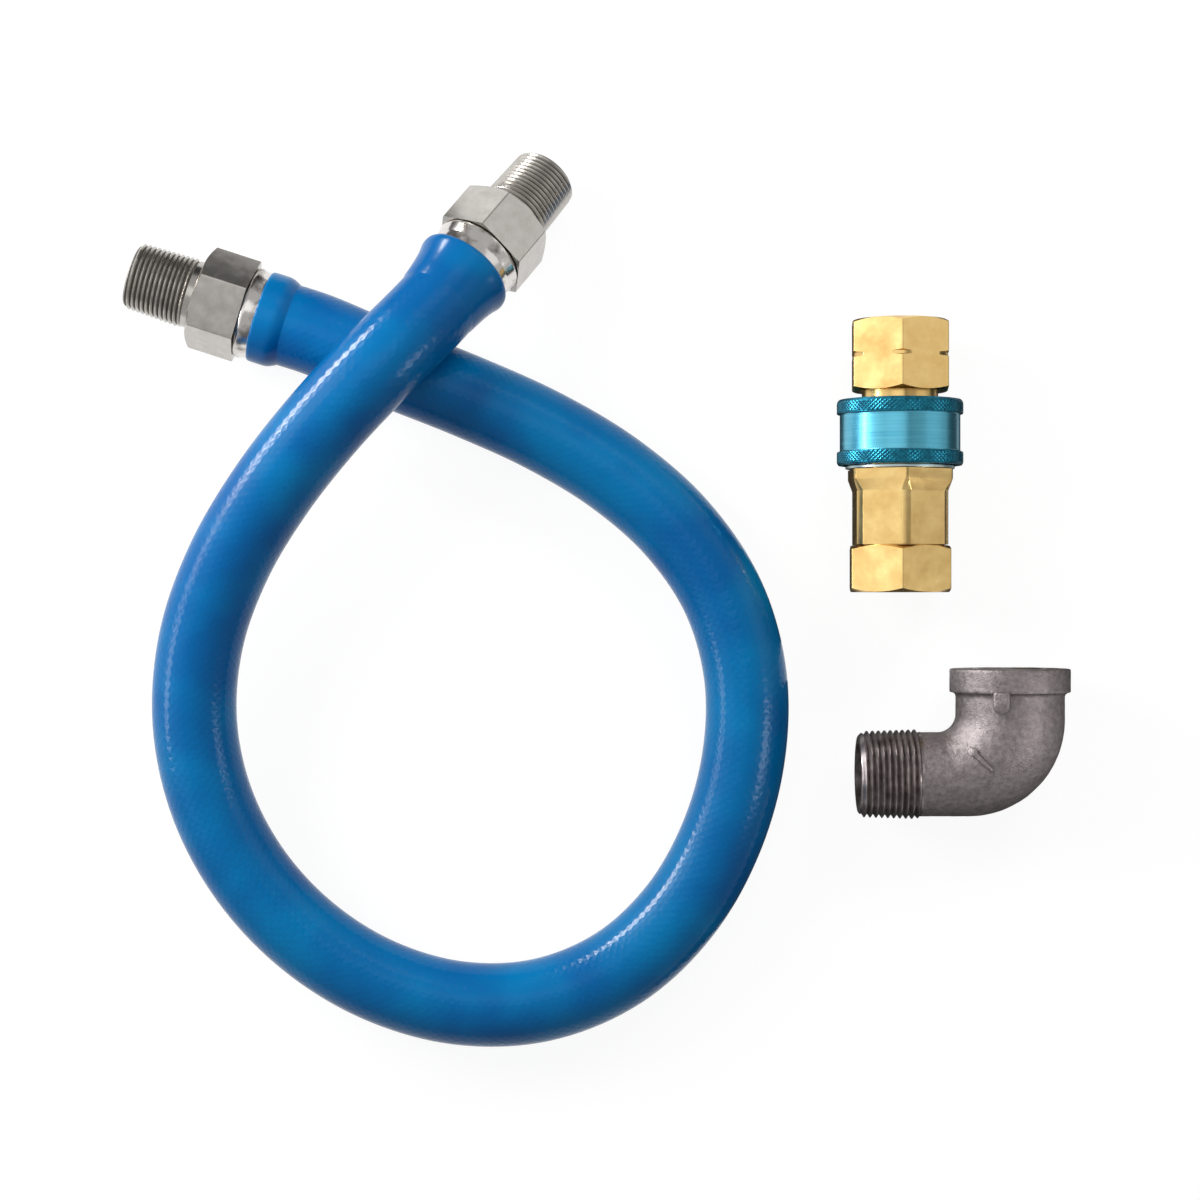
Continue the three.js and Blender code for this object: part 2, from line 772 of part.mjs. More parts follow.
const coupling = new THREE.Group();
coupling.add(piece('plug_body', plugBody(), brass));
coupling.add(piece('socket_body', socketBody(), brass));
coupling.add(piece('socket_adapter', socketAdapter(), brass));
coupling.add(piece('lock_sleeve', lockSleeve(), blueAnodised));
coupling.add(piece('spring_seat_ring', springSeatRing(), paleZinc));
coupling.add(piece('retaining_ring', retainingRing(), springSteel));
const sleeveSpring = windSpring(
  (noseOuter + springPocket) / 4,
  sleeveSpringWire,
  sleeveSpringTurns,
  sleeveBottom,
  ballHeight - landHeight - gap,
);
coupling.add(piece('sleeve_spring', sleeveSpring, springSteel));
for (let i = 0; i < ballCount; i += 1) {
  coupling.add(piece(`lock_ball_${i + 1}`, lockBall(i), polishedSteel));
}
const plugSeal = sealRing((noseBore + sealSection) / 2, sealSection, plugSealHeight);
coupling.add(piece('plug_seal', plugSeal, blackRubber));
const adapterSealRadius = (adapterPilot - adapterSealSection) / 2;
const adapterSeal = sealRing(adapterSealRadius, adapterSealSection, adapterSealHeight);
coupling.add(piece('adapter_seal', adapterSeal, blackRubber));
coupling.add(piece('valve_poppet', valvePoppet(), brass));
coupling.add(piece('poppet_seal', poppetSeal(), blackRubber));
const poppetSpring = windSpring(
  poppetSpringDiameter / 2,
  poppetSpringWire,
  poppetSpringTurns,
  guideTop + gap,
  springUnderHead,
);
coupling.add(piece('poppet_spring', poppetSpring, springSteel));
coupling.add(piece('valve_guide', valveGuide(), brass));

// the coupling lies on its sleeve, its plug towards +Y
coupling.rotation.x = -Math.PI / 2;
coupling.position.set(couplingAt[0], couplingAt[1], sleeveOuter / 2);
kit.add(coupling);

// ---------------------------------------------------------------- street elbow

// Built with the male end along -X and the banded female end along +Y, axes crossing at the origin.
function elbowBend() {
  const bodyRadius = elbowBody / 2;
  const neckRadius = elbowNeck / 2;
  const innerCentre = [-neckRadius - innerFillet, bodyRadius + innerFillet];
  const outerCentre = [neckRadius - outerBend, outerBend - bodyRadius];
  const onArc = ([x, y], radius, angle) => [x + radius * Math.sin(angle), y - radius * Math.cos(angle)];
  const bendStart = -elbowMaleLength + elbowMaleThread;
  const pairs = [[[bendStart, bodyRadius], [bendStart, -bodyRadius]]];
  for (let i = 0; i <= elbowArcSteps; i += 1) {
    const angle = (i / elbowArcSteps) * Math.PI / 2;
    pairs.push([onArc(innerCentre, innerFillet, angle), onArc(outerCentre, outerBend, angle)]);
  }
  const neckTop = elbowFemaleLength - bandHeight / 2;
  pairs.push([[-neckRadius, neckTop], [neckRadius, neckTop]]);
  const rings = pairs.map(([inner, outer]) => {
    const centre = new THREE.Vector3((inner[0] + outer[0]) / 2, (inner[1] + outer[1]) / 2, 0);
    const reach = new THREE.Vector3((outer[0] - inner[0]) / 2, (outer[1] - inner[1]) / 2, 0);
    const ring = [];
    for (let k = 0; k < roundSides; k += 1) {
      const turn = (k / roundSides) * 2 * Math.PI;
      const point = centre.clone().addScaledVector(reach, Math.cos(turn));
      point.z += Math.sin(turn) * reach.length();
      ring.push(point);
    }
    return ring;
  });
  return loft(rings);
}

function elbowWay() {
  const radius = elbowWayMale / 2;
  const stations = [[-elbowMaleLength - cutSpare, 0, 0]];
  for (let i = 0; i <= wayArcSteps; i += 1) {
    const angle = (i / wayArcSteps) * Math.PI / 2;
    stations.push([wayBend * (Math.sin(angle) - 1), wayBend * (1 - Math.cos(angle)), angle]);
  }
  stations.push([0, elbowFemaleLength - socketDepth + cutSpare, Math.PI / 2]);
  return loft(stations.map(([x, y, angle]) => {
    const ring = [];
    for (let k = 0; k < waySides; k += 1) {
      const turn = (k / waySides) * 2 * Math.PI;
      const across = radius * Math.cos(turn);
      ring.push(new THREE.Vector3(
        x - Math.sin(angle) * across,
        y + Math.cos(angle) * across,
        radius * Math.sin(turn),
      ));
    }
    return ring;
  }));
}

function streetElbow() {
  const threadRoot = -elbowMaleLength + elbowMaleThread;
  const thread = turned([
    [0, -elbowThreadOverlap],
    [elbowBody / 2 - elbowThreadInset, -elbowThreadOverlap],
    ...threadProfile(oneInchPipe, 0, elbowMaleThread),
    [0, elbowMaleThread],
  ]);
  thread.rotateY(-Math.PI / 2);
  thread.translate(threadRoot, 0, 0);
  const band = turned([
    [0, -bandHeight],
    [bandDiameter / 2 - bandEdge, -bandHeight],
    [bandDiameter / 2, -bandHeight + bandEdge],
    [bandDiameter / 2, -bandEdge],
    [bandDiameter / 2 - bandEdge, 0],
    [0, 0],
  ]);
  band.rotateX(-Math.PI / 2);
  band.translate(0, elbowFemaleLength, 0);
  const lugShape = new THREE.Shape();
  lugShape.moveTo(-lugWidth / 2, lugOverlap);
  lugShape.lineTo(-lugWidth / 2, -lugDrop + lugWidth / 2);
  lugShape.absarc(0, -lugDrop + lugWidth / 2, lugWidth / 2, Math.PI, 2 * Math.PI, false);
  lugShape.lineTo(lugWidth / 2, lugOverlap);
  const lug = new THREE.ExtrudeGeometry(lugShape, {
    depth: elbowNeck / 2 + lugProud,
    curveSegments: lugArcSegments,
    bevelEnabled: false,
  });
  lug.translate(0, elbowFemaleLength - bandHeight, 0);
  lug.rotateY(THREE.MathUtils.degToRad(lugTurn));
  const tickTop = (tickHeadTop + tickTailTop) / 2;
  const tickSlope = (tickTailTop - tickHeadTop) / tickLength;
  const tick = new THREE.BoxGeometry(tickLength, tickWidth, tickTop);
  tick.translate(0, 0, tickTop / 2);
  tick.applyMatrix4(new THREE.Matrix4().makeShear(0, tickSlope, 0, 0, 0, 0));
  tick.rotateZ(THREE.MathUtils.degToRad(tickTurn));
  tick.translate(tickAt[0], tickAt[1], 0);
  const mouth = turned([
    [0, cutSpare],
    [socketMouth / 2, cutSpare],
    [socketMouth / 2, 0],
    [socketBore / 2, -mouthDepth],
    [socketBore / 2, -socketDepth],
    [0, -socketDepth],
  ]);
  mouth.rotateX(-Math.PI / 2);
  mouth.translate(0, elbowFemaleLength, 0);
  let body = toManifold(elbowBend());
  for (const added of [thread, band, lug, tick]) body = body.add(toManifold(added));
  return fromManifold(cutHoles(body, [elbowWay(), mouth]));
}

const elbow = piece('street_elbow', streetElbow(), castIron);
elbow.position.set(elbowAt[0], elbowAt[1], bandDiameter / 2);
kit.add(elbow);

export default kit;
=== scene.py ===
"""A coated gas connector hose, lying in a loop beside its quick-disconnect coupling and street elbow."""
import math

import bmesh
import bpy
from mathutils import Matrix, Vector, noise


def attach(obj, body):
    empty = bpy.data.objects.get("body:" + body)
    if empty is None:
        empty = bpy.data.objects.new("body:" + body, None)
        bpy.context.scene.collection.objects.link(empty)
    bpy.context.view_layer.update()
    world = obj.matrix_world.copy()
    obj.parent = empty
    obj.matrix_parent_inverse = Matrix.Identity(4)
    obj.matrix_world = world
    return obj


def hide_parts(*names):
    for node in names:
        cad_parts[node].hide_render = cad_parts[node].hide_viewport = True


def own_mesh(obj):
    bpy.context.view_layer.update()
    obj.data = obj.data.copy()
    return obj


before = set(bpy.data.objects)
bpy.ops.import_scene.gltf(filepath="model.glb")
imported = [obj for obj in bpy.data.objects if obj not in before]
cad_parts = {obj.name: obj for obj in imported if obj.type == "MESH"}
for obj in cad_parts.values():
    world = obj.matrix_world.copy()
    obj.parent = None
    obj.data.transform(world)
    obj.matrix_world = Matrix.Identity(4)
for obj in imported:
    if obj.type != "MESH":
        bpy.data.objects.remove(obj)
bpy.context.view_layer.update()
mm = 0.001


# ---------------------------------------------------------------- studio
# A product table seen straight from above: a pale floor, softboxes that light the paint, and lamps and
# cards that only gloss and metal reflect.
# The picture is 456 mm wide at the floor, taken from one metre.

def colour(hex_code):
    """An sRGB hex colour as the linear RGBA that shaders use."""
    channels = [int(hex_code[i:i + 2], 16) / 255 for i in (1, 3, 5)]
    linear = [c / 12.92 if c <= 0.04045 else ((c + 0.055) / 1.055) ** 2.4 for c in channels]
    return (*linear, 1.0)


def add_node(tree, kind, settings=None, inputs=None):
    """A shader node with its settings and its inputs, each a value or another node's socket."""
    node = tree.nodes.new(kind)
    for name, value in (settings or {}).items():
        setattr(node, name, value)
    for name, value in (inputs or {}).items():
        if isinstance(value, bpy.types.NodeSocket):
            tree.links.new(value, node.inputs[name])
        else:
            node.inputs[name].default_value = value
    return node


camera_height = 1.0
picture_width = 0.456
picture_centre = (0.0014, -0.0001)

camera_data = bpy.data.cameras.new("camera")
camera_data.angle = 2 * math.atan(picture_width / 2 / camera_height)
camera = bpy.data.objects.new("camera", camera_data)
camera.location = (*picture_centre, camera_height)
bpy.context.scene.collection.objects.link(camera)
bpy.context.scene.camera = camera


def seen_directly(tree):
    """1 for a ray from the camera, a mirror or glass, and 0 for light bouncing about."""
    path = add_node(tree, "ShaderNodeLightPath")
    seen = path.outputs["Is Camera Ray"]
    for ray in ("Is Glossy Ray", "Is Transmission Ray"):
        total = add_node(tree, "ShaderNodeMath", {"operation": "MAXIMUM"}, {0: seen, 1: path.outputs[ray]})
        seen = total.outputs[0]
    return seen


floor_mesh = bmesh.new()
bmesh.ops.create_grid(floor_mesh, x_segments=1, y_segments=1, size=12.0)
floor_data = bpy.data.meshes.new("floor")
floor_mesh.to_mesh(floor_data)
floor_mesh.free()
floor = bpy.data.objects.new("floor", floor_data)
bpy.context.scene.collection.objects.link(floor)

white_table = bpy.data.materials.new("white_table")
white_table.use_nodes = True
tree = white_table.node_tree
tree.nodes.clear()
table_paint = add_node(tree, "ShaderNodeBsdfDiffuse", inputs={"Color": (0.3, 0.3, 0.3, 1)})
shadowed_paint = add_node(tree, "ShaderNodeBsdfDiffuse", inputs={"Color": (0.16, 0.16, 0.16, 1)})
table_glow = add_node(tree, "ShaderNodeEmission", inputs={"Color": (1, 1, 1, 1), "Strength": 0.92})
bright_table = add_node(
    tree, "ShaderNodeAddShader",
    inputs={0: shadowed_paint.outputs[0], 1: table_glow.outputs[0]},
)
table_mix = add_node(
    tree, "ShaderNodeMixShader",
    inputs={0: seen_directly(tree), 1: table_paint.outputs[0], 2: bright_table.outputs[0]},
)
add_node(tree, "ShaderNodeOutputMaterial", inputs={"Surface": table_mix.outputs[0]})
floor_data.materials.append(white_table)

room = bpy.data.worlds.new("room")
room.use_nodes = True
bpy.context.scene.world = room
tree = room.node_tree
tree.nodes.clear()
soft_light = add_node(tree, "ShaderNodeBackground", inputs={"Color": (1, 1, 1, 1), "Strength": 0.24})
grey_wall = add_node(tree, "ShaderNodeBackground", inputs={"Color": (1, 1, 1, 1), "Strength": 0.5})
room_mix = add_node(
    tree, "ShaderNodeMixShader",
    inputs={0: seen_directly(tree), 1: soft_light.outputs[0], 2: grey_wall.outputs[0]},
)
add_node(tree, "ShaderNodeOutputWorld", inputs={"Surface": room_mix.outputs[0]})


def lamp(name, place, size, watts, target, lights, shines):
    """A softbox of size (width, height), facing a point, that lights paint, shines in gloss or does both."""
    data = bpy.data.lights.new(name, "AREA")
    data.shape = "RECTANGLE"
    data.size, data.size_y = size
    data.energy = watts
    light = bpy.data.objects.new(name, data)
    light.location = place
    away = Vector(place) - Vector(target)
    light.rotation_euler = away.to_track_quat("Z", "Y").to_euler()
    light.visible_diffuse = lights
    light.visible_glossy = shines
    bpy.context.scene.collection.objects.link(light)


lamp("softbox_left", (-0.62, 0.3, 0.42), (0.35, 0.5), 4.4, (0, 0, 0), True, False)
lamp("softbox_top", (0.35, 0.75, 0.75), (0.5, 0.3), 3.0, (0, 0, 0), True, False)
lamp("strip_left", (-0.956, 0.744, 0.24), (0.8, 0.035), 24, (-0.1, 0.1, 0.05), False, True)
lamp("panel_left", (-1.1, 0.0, 0.3), (0.7, 0.14), 3.6, (-0.15, 0, 0), False, True)
lamp("lamp_beside_elbow", (0.33, -0.1, 0.22), (0.1, 0.1), 0.24, (0.158, -0.05, 0.04), False, True)


def card(name, place, size, target, tone):
    """A card of size (width, height) and tone, outside the picture, that only gloss and metal reflect; the
    dark ones lying on the floor are painted shadow.
    """
    paper = bpy.data.materials.new(f"{name}_paper")
    paper.use_nodes = True
    paper.node_tree.nodes.clear()
    shine = add_node(
        paper.node_tree, "ShaderNodeEmission", inputs={"Color": (tone, tone, tone, 1), "Strength": 1.0},
    )
    add_node(paper.node_tree, "ShaderNodeOutputMaterial", inputs={"Surface": shine.outputs[0]})
    shape = bmesh.new()
    bmesh.ops.create_grid(shape, x_segments=1, y_segments=1, size=0.5)
    away = (Vector(place) - Vector(target)).to_track_quat("Z", "Y").to_matrix().to_4x4()
    scale = Matrix.Diagonal((size[0], size[1], 1, 1))
    bmesh.ops.transform(shape, matrix=Matrix.Translation(place) @ away @ scale, verts=shape.verts)
    data = bpy.data.meshes.new(name)
    shape.to_mesh(data)
    shape.free()
    data.materials.append(paper)
    sheet = bpy.data.objects.new(name, data)
    sheet.visible_camera = False
    sheet.visible_diffuse = False
    sheet.visible_shadow = False
    bpy.context.scene.collection.objects.link(sheet)


card("white_card_left", (-1.5, 0.1, 1.1), (2.2, 1.3), (0, 0, 0), 1.0)
card("white_card_right", (1.5, 0.75, 0.8), (1.3, 1.0), (0, 0.6, 0), 0.95)
card("white_card_above_ends", (-0.1, 0.2, 0.8), (0.6, 0.4), (-0.1, 0.15, 0), 1.25)
card("dark_card_above", (0.31, 0.15, 1.7), (0.5, 0.6), (0.31, 0.15, 0), 0.03)
card("dark_card_behind_end_a", (-0.14, 0.2, 0.035), (0.12, 0.07), (-0.14, 0.1, 0.035), 0.05)
# Dark sheets lying on the floor under and beside the coupling and under the elbow, seen only in gloss and
# metal: painted shadow of the floor in their reflections.
card("painted_shadow_under_coupling", (0.1127, 0.055, 0.0008), (0.09, 0.14), (0.1127, 0.055, -1), 0.03)
card("painted_shade_beside_coupling", (0.39, 0.06, 0.0008), (0.45, 0.2), (0.39, 0.06, -1), 0.06)
card("painted_shadow_under_elbow", (0.14, -0.15, 0.0008), (0.17, 0.24), (0.14, -0.15, -1), 0.05)

bpy.context.scene.view_settings.view_transform = "Standard"


# ---------------------------------------------------------------- hose
# A corrugated stainless gas tube inside a woven steel braid, dipped in soft blue vinyl.
# The vinyl is 1.7 mm thick and glossy, and the weave under it shows faintly.

hose_route = [
    (-0.1171, 0.1031, 0.0184),
    (-0.1038, 0.0988, 0.0183),
    (-0.0770, 0.0874, 0.0174),
    (-0.0481, 0.0760, 0.0163),
    (-0.0197, 0.0632, 0.0158),
    (0.0069, 0.0472, 0.0157),
    (0.0302, 0.0267, 0.0157),
    (0.0475, 0.0010, 0.0157),
    (0.0558, -0.0289, 0.0157),
    (0.0549, -0.0598, 0.0157),
    (0.0464, -0.0897, 0.0157),
    (0.0310, -0.1166, 0.0157),
    (0.0084, -0.1377, 0.0157),
    (-0.0202, -0.1496, 0.0157),
    (-0.0511, -0.1508, 0.0158),
    (-0.0809, -0.1423, 0.0165),
    (-0.1072, -0.1259, 0.0178),
    (-0.1283, -0.1032, 0.0199),
    (-0.1425, -0.0758, 0.0229),
    (-0.1484, -0.0456, 0.0268),
    (-0.1454, -0.0151, 0.0316),
    (-0.1346, 0.0135, 0.0370),
    (-0.1185, 0.0393, 0.0432),
    (-0.0993, 0.0629, 0.0488),
    (-0.0781, 0.0853, 0.0512),
    (-0.0594, 0.1057, 0.0432),
    (-0.0506, 0.1173, 0.03615),
]
hose_outside = 31.0 * mm
vinyl_wall = 1.7 * mm
braid_outside = 27.2 * mm
braid_wall = 0.8 * mm
core_outside = 25.0 * mm
core_wall = 0.4 * mm
core_ring = 3 * mm
core_ring_depth = 1.2 * mm


def rounded_route(points, steps):
    """A smooth line through the points, with the same rounding as the solid hose inside it."""
    points = [Vector(p) for p in points]
    ends = [2 * points[0] - points[1], *points, 2 * points[-1] - points[-2]]
    line = []
    for before, start, end, after in zip(ends, ends[1:], ends[2:], ends[3:]):
        gaps = [math.sqrt((b - a).length) for a, b in ((before, start), (start, end), (end, after))]
        leaving = (start - before) / gaps[0] - (end - before) / (gaps[0] + gaps[1]) + (end - start) / gaps[1]
        arriving = (end - start) / gaps[1] - (after - start) / (gaps[1] + gaps[2]) + (after - end) / gaps[2]
        leaving *= gaps[1]
        arriving *= gaps[1]
        for i in range(steps):
            t = i / steps
            cubic = 2 * start - 2 * end + leaving + arriving
            square = 3 * end - 3 * start - 2 * leaving - arriving
            line.append(start + leaving * t + square * t ** 2 + cubic * t ** 3)
    line.append(points[-1])
    return line


hose_line = rounded_route(hose_route, 9)


def new_piece(
    name, shape, materials, body, node, smooth_under=35, place=None, flat_faces=False, wall=0.0,
):
    """Makes a bmesh a finished piece in its place: smooth but for its corners, riding on its body."""
    if place is not None:
        bmesh.ops.transform(shape, matrix=place, verts=shape.verts)
    bmesh.ops.recalc_face_normals(shape, faces=shape.faces)
    data = bpy.data.meshes.new(name)
    shape.to_mesh(data)
    shape.free()
    for face in data.polygons:
        face.use_smooth = True
    data.set_sharp_from_angle(angle=math.radians(smooth_under))
    for material in materials:
        data.materials.append(material)
    piece = bpy.data.objects.new(name, data)
    bpy.context.scene.collection.objects.link(piece)
    if flat_faces:
        flats = piece.modifiers.new("flat_faces", "WEIGHTED_NORMAL")
        flats.keep_sharp = True
    if wall:
        skin = piece.modifiers.new("wall", "SOLIDIFY")
        skin.thickness = wall
        skin.offset = -1
    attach(piece, body)
    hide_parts(node)
    return piece


def hose_layer(outside, sides, line, ring_depth=0.0, ring_spacing=1.0):
    """A skin along the hose, plain or with rings in it, whose UV map is millimetres round and along it."""
    shape = bmesh.new()
    uv = shape.loops.layers.uv.new("round_and_along")
    ahead = (line[1] - line[0]).normalized()
    up = Vector((0, 0, 1))
    up = (up - ahead * up.dot(ahead)).normalized()
    along = 0.0
    rings = []
    for i, centre in enumerate(line):
        before = line[max(i - 1, 0)]
        after = line[min(i + 1, len(line) - 1)]
        turn = ahead.rotation_difference((after - before).normalized())
        ahead = turn @ ahead
        up = turn @ up
        along += (centre - before).length
        place = Matrix((ahead.cross(up), up, ahead)).transposed().to_4x4()
        place.translation = centre
        radius = outside / 2 - ring_depth * (1 - math.cos(math.tau * along / ring_spacing)) / 2
        ring = bmesh.ops.create_circle(shape, segments=sides, radius=radius, matrix=place)["verts"]
        rings.append((ring, along))
    round_mm = math.pi * outside / mm
    for (ring, near), (next_ring, far) in zip(rings, rings[1:]):
        edges = {e for v in (*ring, *next_ring) for e in v.link_edges if len(e.link_faces) < 2}
        own = [e for e in edges if set(e.verts) <= set(ring) or set(e.verts) <= set(next_ring)]
        faces = bmesh.ops.bridge_loops(shape, edges=own)["faces"]
        place_in_ring = {v: k for k, v in enumerate(ring)}
        place_in_ring.update({v: k for k, v in enumerate(next_ring)})
        near_verts = set(ring)
        for face in faces:
            numbers = [place_in_ring[loop.vert] for loop in face.loops]
            wraps = max(numbers) - min(numbers) > sides / 2
            for loop, number in zip(face.loops, numbers):
                if wraps and number < sides / 2:
                    number += sides
                height = near if loop.vert in near_verts else far
                loop[uv].uv = (number / sides * round_mm, height / mm)
    return shape


in_millimetres = (1000, 1000, 1000)


def clouds(tree, spots, stretch=in_millimetres):
    """Soft spots over a piece: spots is (count to a unit, detail, grain), with stretch units to the metre."""
    per_unit, detail, grain = spots
    where = add_node(tree, "ShaderNodeTexCoord")
    units = add_node(tree, "ShaderNodeMapping", inputs={"Vector": where.outputs["Object"], "Scale": stretch})
    cloud = add_node(
        tree, "ShaderNodeTexNoise",
        inputs={"Vector": units.outputs[0], "Scale": per_unit, "Detail": detail, "Roughness": grain},
    )
    return cloud.outputs["Fac"]


def finish(name, values, spots=None, tones=(), dullness=(), stretch=in_millimetres):
    """A material with values on its shader, whose clouds run between two tones and two values of dullness."""
    material = bpy.data.materials.new(name)
    material.use_nodes = True
    tree = material.node_tree
    shader = tree.nodes["Principled BSDF"]
    for socket, value in values.items():
        shader.inputs[socket].default_value = value
    cloud = clouds(tree, spots, stretch) if spots else None
    if tones:
        blend = add_node(tree, "ShaderNodeValToRGB", inputs={"Fac": cloud})
        for stop, (place, tone) in zip(blend.color_ramp.elements, tones):
            stop.position = place
            stop.color = colour(tone)
        tree.links.new(blend.outputs["Color"], shader.inputs["Base Color"])
    if dullness:
        dulled = add_node(
            tree, "ShaderNodeMapRange", inputs={"Value": cloud, "To Min": dullness[0], "To Max": dullness[1]},
        )
        tree.links.new(dulled.outputs["Result"], shader.inputs["Roughness"])
    return material


def roughen(material, spots, strength, height, stretch=in_millimetres, under=None):
    """Raises clouds on a material's surface, up to height metres, over any relief under them."""
    tree = material.node_tree
    relief = {"Height": clouds(tree, spots, stretch), "Strength": strength, "Distance": height}
    if under is not None:
        relief["Normal"] = under
    bumps = add_node(tree, "ShaderNodeBump", inputs=relief)
    tree.links.new(bumps.outputs[0], tree.nodes["Principled BSDF"].inputs["Normal"])


# Plastisol vinyl: deep blue right through, wet-looking, and slightly uneven from dipping.
vinyl = finish(
    "dipped_blue_vinyl", {"Roughness": 0.22, "IOR": 1.53, "Specular IOR Level": 0.15},
    (0.03, 2.0, 0.5), ((0.35, "#006ab2"), (0.65, "#0083c5")),
)
tree = vinyl.node_tree
where = add_node(tree, "ShaderNodeTexCoord")
# strands 2.6 mm apart cross at 45 degrees to the hose
strand = 2.6
weave_turn = add_node(
    tree, "ShaderNodeMapping",
    inputs={"Vector": where.outputs["UV"], "Rotation": (0, 0, math.radians(45))},
)
weave_axes = add_node(tree, "ShaderNodeSeparateXYZ", inputs={"Vector": weave_turn.outputs[0]})
waves = []
for axis in ("X", "Y"):
    phase = add_node(
        tree, "ShaderNodeMath", {"operation": "MULTIPLY"},
        {0: weave_axes.outputs[axis], 1: 2 * math.pi / strand},
    )
    wave = add_node(tree, "ShaderNodeMath", {"operation": "SINE"}, {0: phase.outputs[0]})
    waves.append(wave.outputs[0])
weave = add_node(tree, "ShaderNodeMath", {"operation": "MAXIMUM"}, {0: waves[0], 1: waves[1]})
weave_bump = add_node(
    tree, "ShaderNodeBump",
    inputs={"Height": weave.outputs[0], "Strength": 0.18, "Distance": 0.00015},
)
roughen(vinyl, (0.16, 3.0, 0.5), 0.25, 0.0006, under=weave_bump.outputs[0])

hose_vinyl = new_piece(
    "hose_vinyl", hose_layer(hose_outside, 64, hose_line), [vinyl], "hose", "hose_jacket", 60,
    wall=vinyl_wall,
)


# ---------------------------------------------------------------- braid and gas tube
# Under the vinyl lie a woven stainless wire braid and the corrugated stainless tube that holds the gas.
# Both run the whole length of the hose and are welded to its end fittings.

# Drawn stainless wire in flat plaited strands, grey, with the lower cells between the strands a darker grey
# as painted shade.
braid_wire = finish("woven_stainless_wire", {"Metallic": 1.0, "Roughness": 0.42})
tree = braid_wire.node_tree
steel = tree.nodes["Principled BSDF"]
where = add_node(tree, "ShaderNodeTexCoord")
# plaited strands 5 mm wide cross at 45 degrees
strand_width = 5.0
plait_turn = add_node(
    tree, "ShaderNodeMapping",
    inputs={"Vector": where.outputs["UV"], "Rotation": (0, 0, math.radians(45))},
)
# the lower checker cells take the darker grey: painted shade in the gaps between the strands
plait = add_node(
    tree, "ShaderNodeTexChecker",
    inputs={
        "Vector": plait_turn.outputs[0], "Scale": 1 / strand_width,
        "Color1": colour("#a9a7a3"), "Color2": colour("#8e8c88"),
    },
)
tree.links.new(plait.outputs["Color"], steel.inputs["Base Color"])
plait_bump = add_node(
    tree, "ShaderNodeBump",
    inputs={"Height": plait.outputs["Fac"], "Strength": 0.5, "Distance": 0.0002},
)
tree.links.new(plait_bump.outputs[0], steel.inputs["Normal"])

wires = hose_layer(braid_outside, 40, hose_line)
new_piece("hose_wires", wires, [braid_wire], "hose", "hose_braid", 60, wall=braid_wall)


def even_steps(line, step):
    """Points along a line, one step apart, and its last point."""
    points = [line[0]]
    for start, end in zip(line, line[1:]):
        while (end - points[-1]).length > step:
            points.append(points[-1] + (end - points[-1]).normalized() * step)
    points.append(line[-1])
    return points


# Annealed stainless strip, bright, with a faint haze from the furnace.
gas_tube = finish(
    "corrugated_stainless_tube", {"Metallic": 1.0, "Base Color": colour("#b7b4ae")},
    (0.2, 3.0, 0.5), dullness=(0.2, 0.38),
)
bellows = hose_layer(core_outside, 28, even_steps(hose_line, core_ring / 6), core_ring_depth, core_ring)
new_piece("hose_bellows", bellows, [gas_tube], "hose", "hose_core", 70, wall=core_wall)


# ---------------------------------------------------------------- hose end fittings
# A hex nipple turned from stainless bar, with a three-quarter taper pipe thread cut on its free end.
# Its tail is welded inside a polished collar that grips the braid.

fitting_flats = 34 * mm
fitting_tail = 24.8 * mm
fitting_start = 0.3 * mm
hex_start = 14.0 * mm
hex_end = 32.5 * mm
fitting_chamfer = 1.6 * mm
fitting_neck = 25.4 * mm
thread_start = 35.9 * mm
fitting_end = 58.4 * mm
gas_bore = 19.2 * mm
pipe_thread = {"outside": 26.67 * mm, "pitch": 1.814 * mm, "depth": 1.2 * mm}
thread_taper = 1 / 16
corner_turns = {"a": 21.0, "b": -11.7}


def eased(profile, radius):
    """A turned profile whose corners are rounded a little, as a lathe tool leaves them."""
    points = [Vector((r, h)) for r, h in profile]
    out = []
    for i, corner in enumerate(points):
        before = points[i - 1] - corner
        after = points[(i + 1) % len(points)] - corner
        straight = abs(before.normalized().dot(after.normalized())) > 0.985
        if corner.x <= 0 or straight:
            out.append(corner)
            continue
        cut_before = corner + before.normalized() * min(radius, before.length * 0.4)
        cut_after = corner + after.normalized() * min(radius, after.length * 0.4)
        middle = (cut_before + cut_after) / 4 + corner / 2
        out += [cut_before, middle, cut_after]
    return [(p.x, p.y) for p in out]


def turned_bar(profile, steps=96, rounding=0.0):
    """A bmesh turned about +Z from (radius, height) points, closed or starting and ending on the axis."""
    if rounding:
        profile = eased(profile, rounding)
    shape = bmesh.new()
    verts = [shape.verts.new((radius, 0, height)) for radius, height in profile]
    on_axis = profile[0][0] == 0 and profile[-1][0] == 0
    pairs = list(zip(verts, verts[1:]))
    if not on_axis:
        pairs.append((verts[-1], verts[0]))
    edges = [shape.edges.new(pair) for pair in pairs]
    bmesh.ops.spin(
        shape, geom=[*verts, *edges], axis=(0, 0, 1), cent=(0, 0, 0),
        angle=2 * math.pi, steps=steps, use_merge=True,
    )
    bmesh.ops.remove_doubles(shape, verts=shape.verts, dist=1e-7)
    bmesh.ops.recalc_face_normals(shape, faces=shape.faces)
    return shape


def rounded_off(shape, edges, radius, steps):
    """Rounds edges of a bmesh."""
    bmesh.ops.bevel(
        shape, geom=edges, offset=radius, offset_type="OFFSET", segments=steps,
        profile=0.5, affect="EDGES", material=-1,
    )


def round_bar(radius, low, high, steps=72):
    """A plain round bar about +Z."""
    return turned_bar([(0, low), (radius, low), (radius, high), (0, high)], steps)


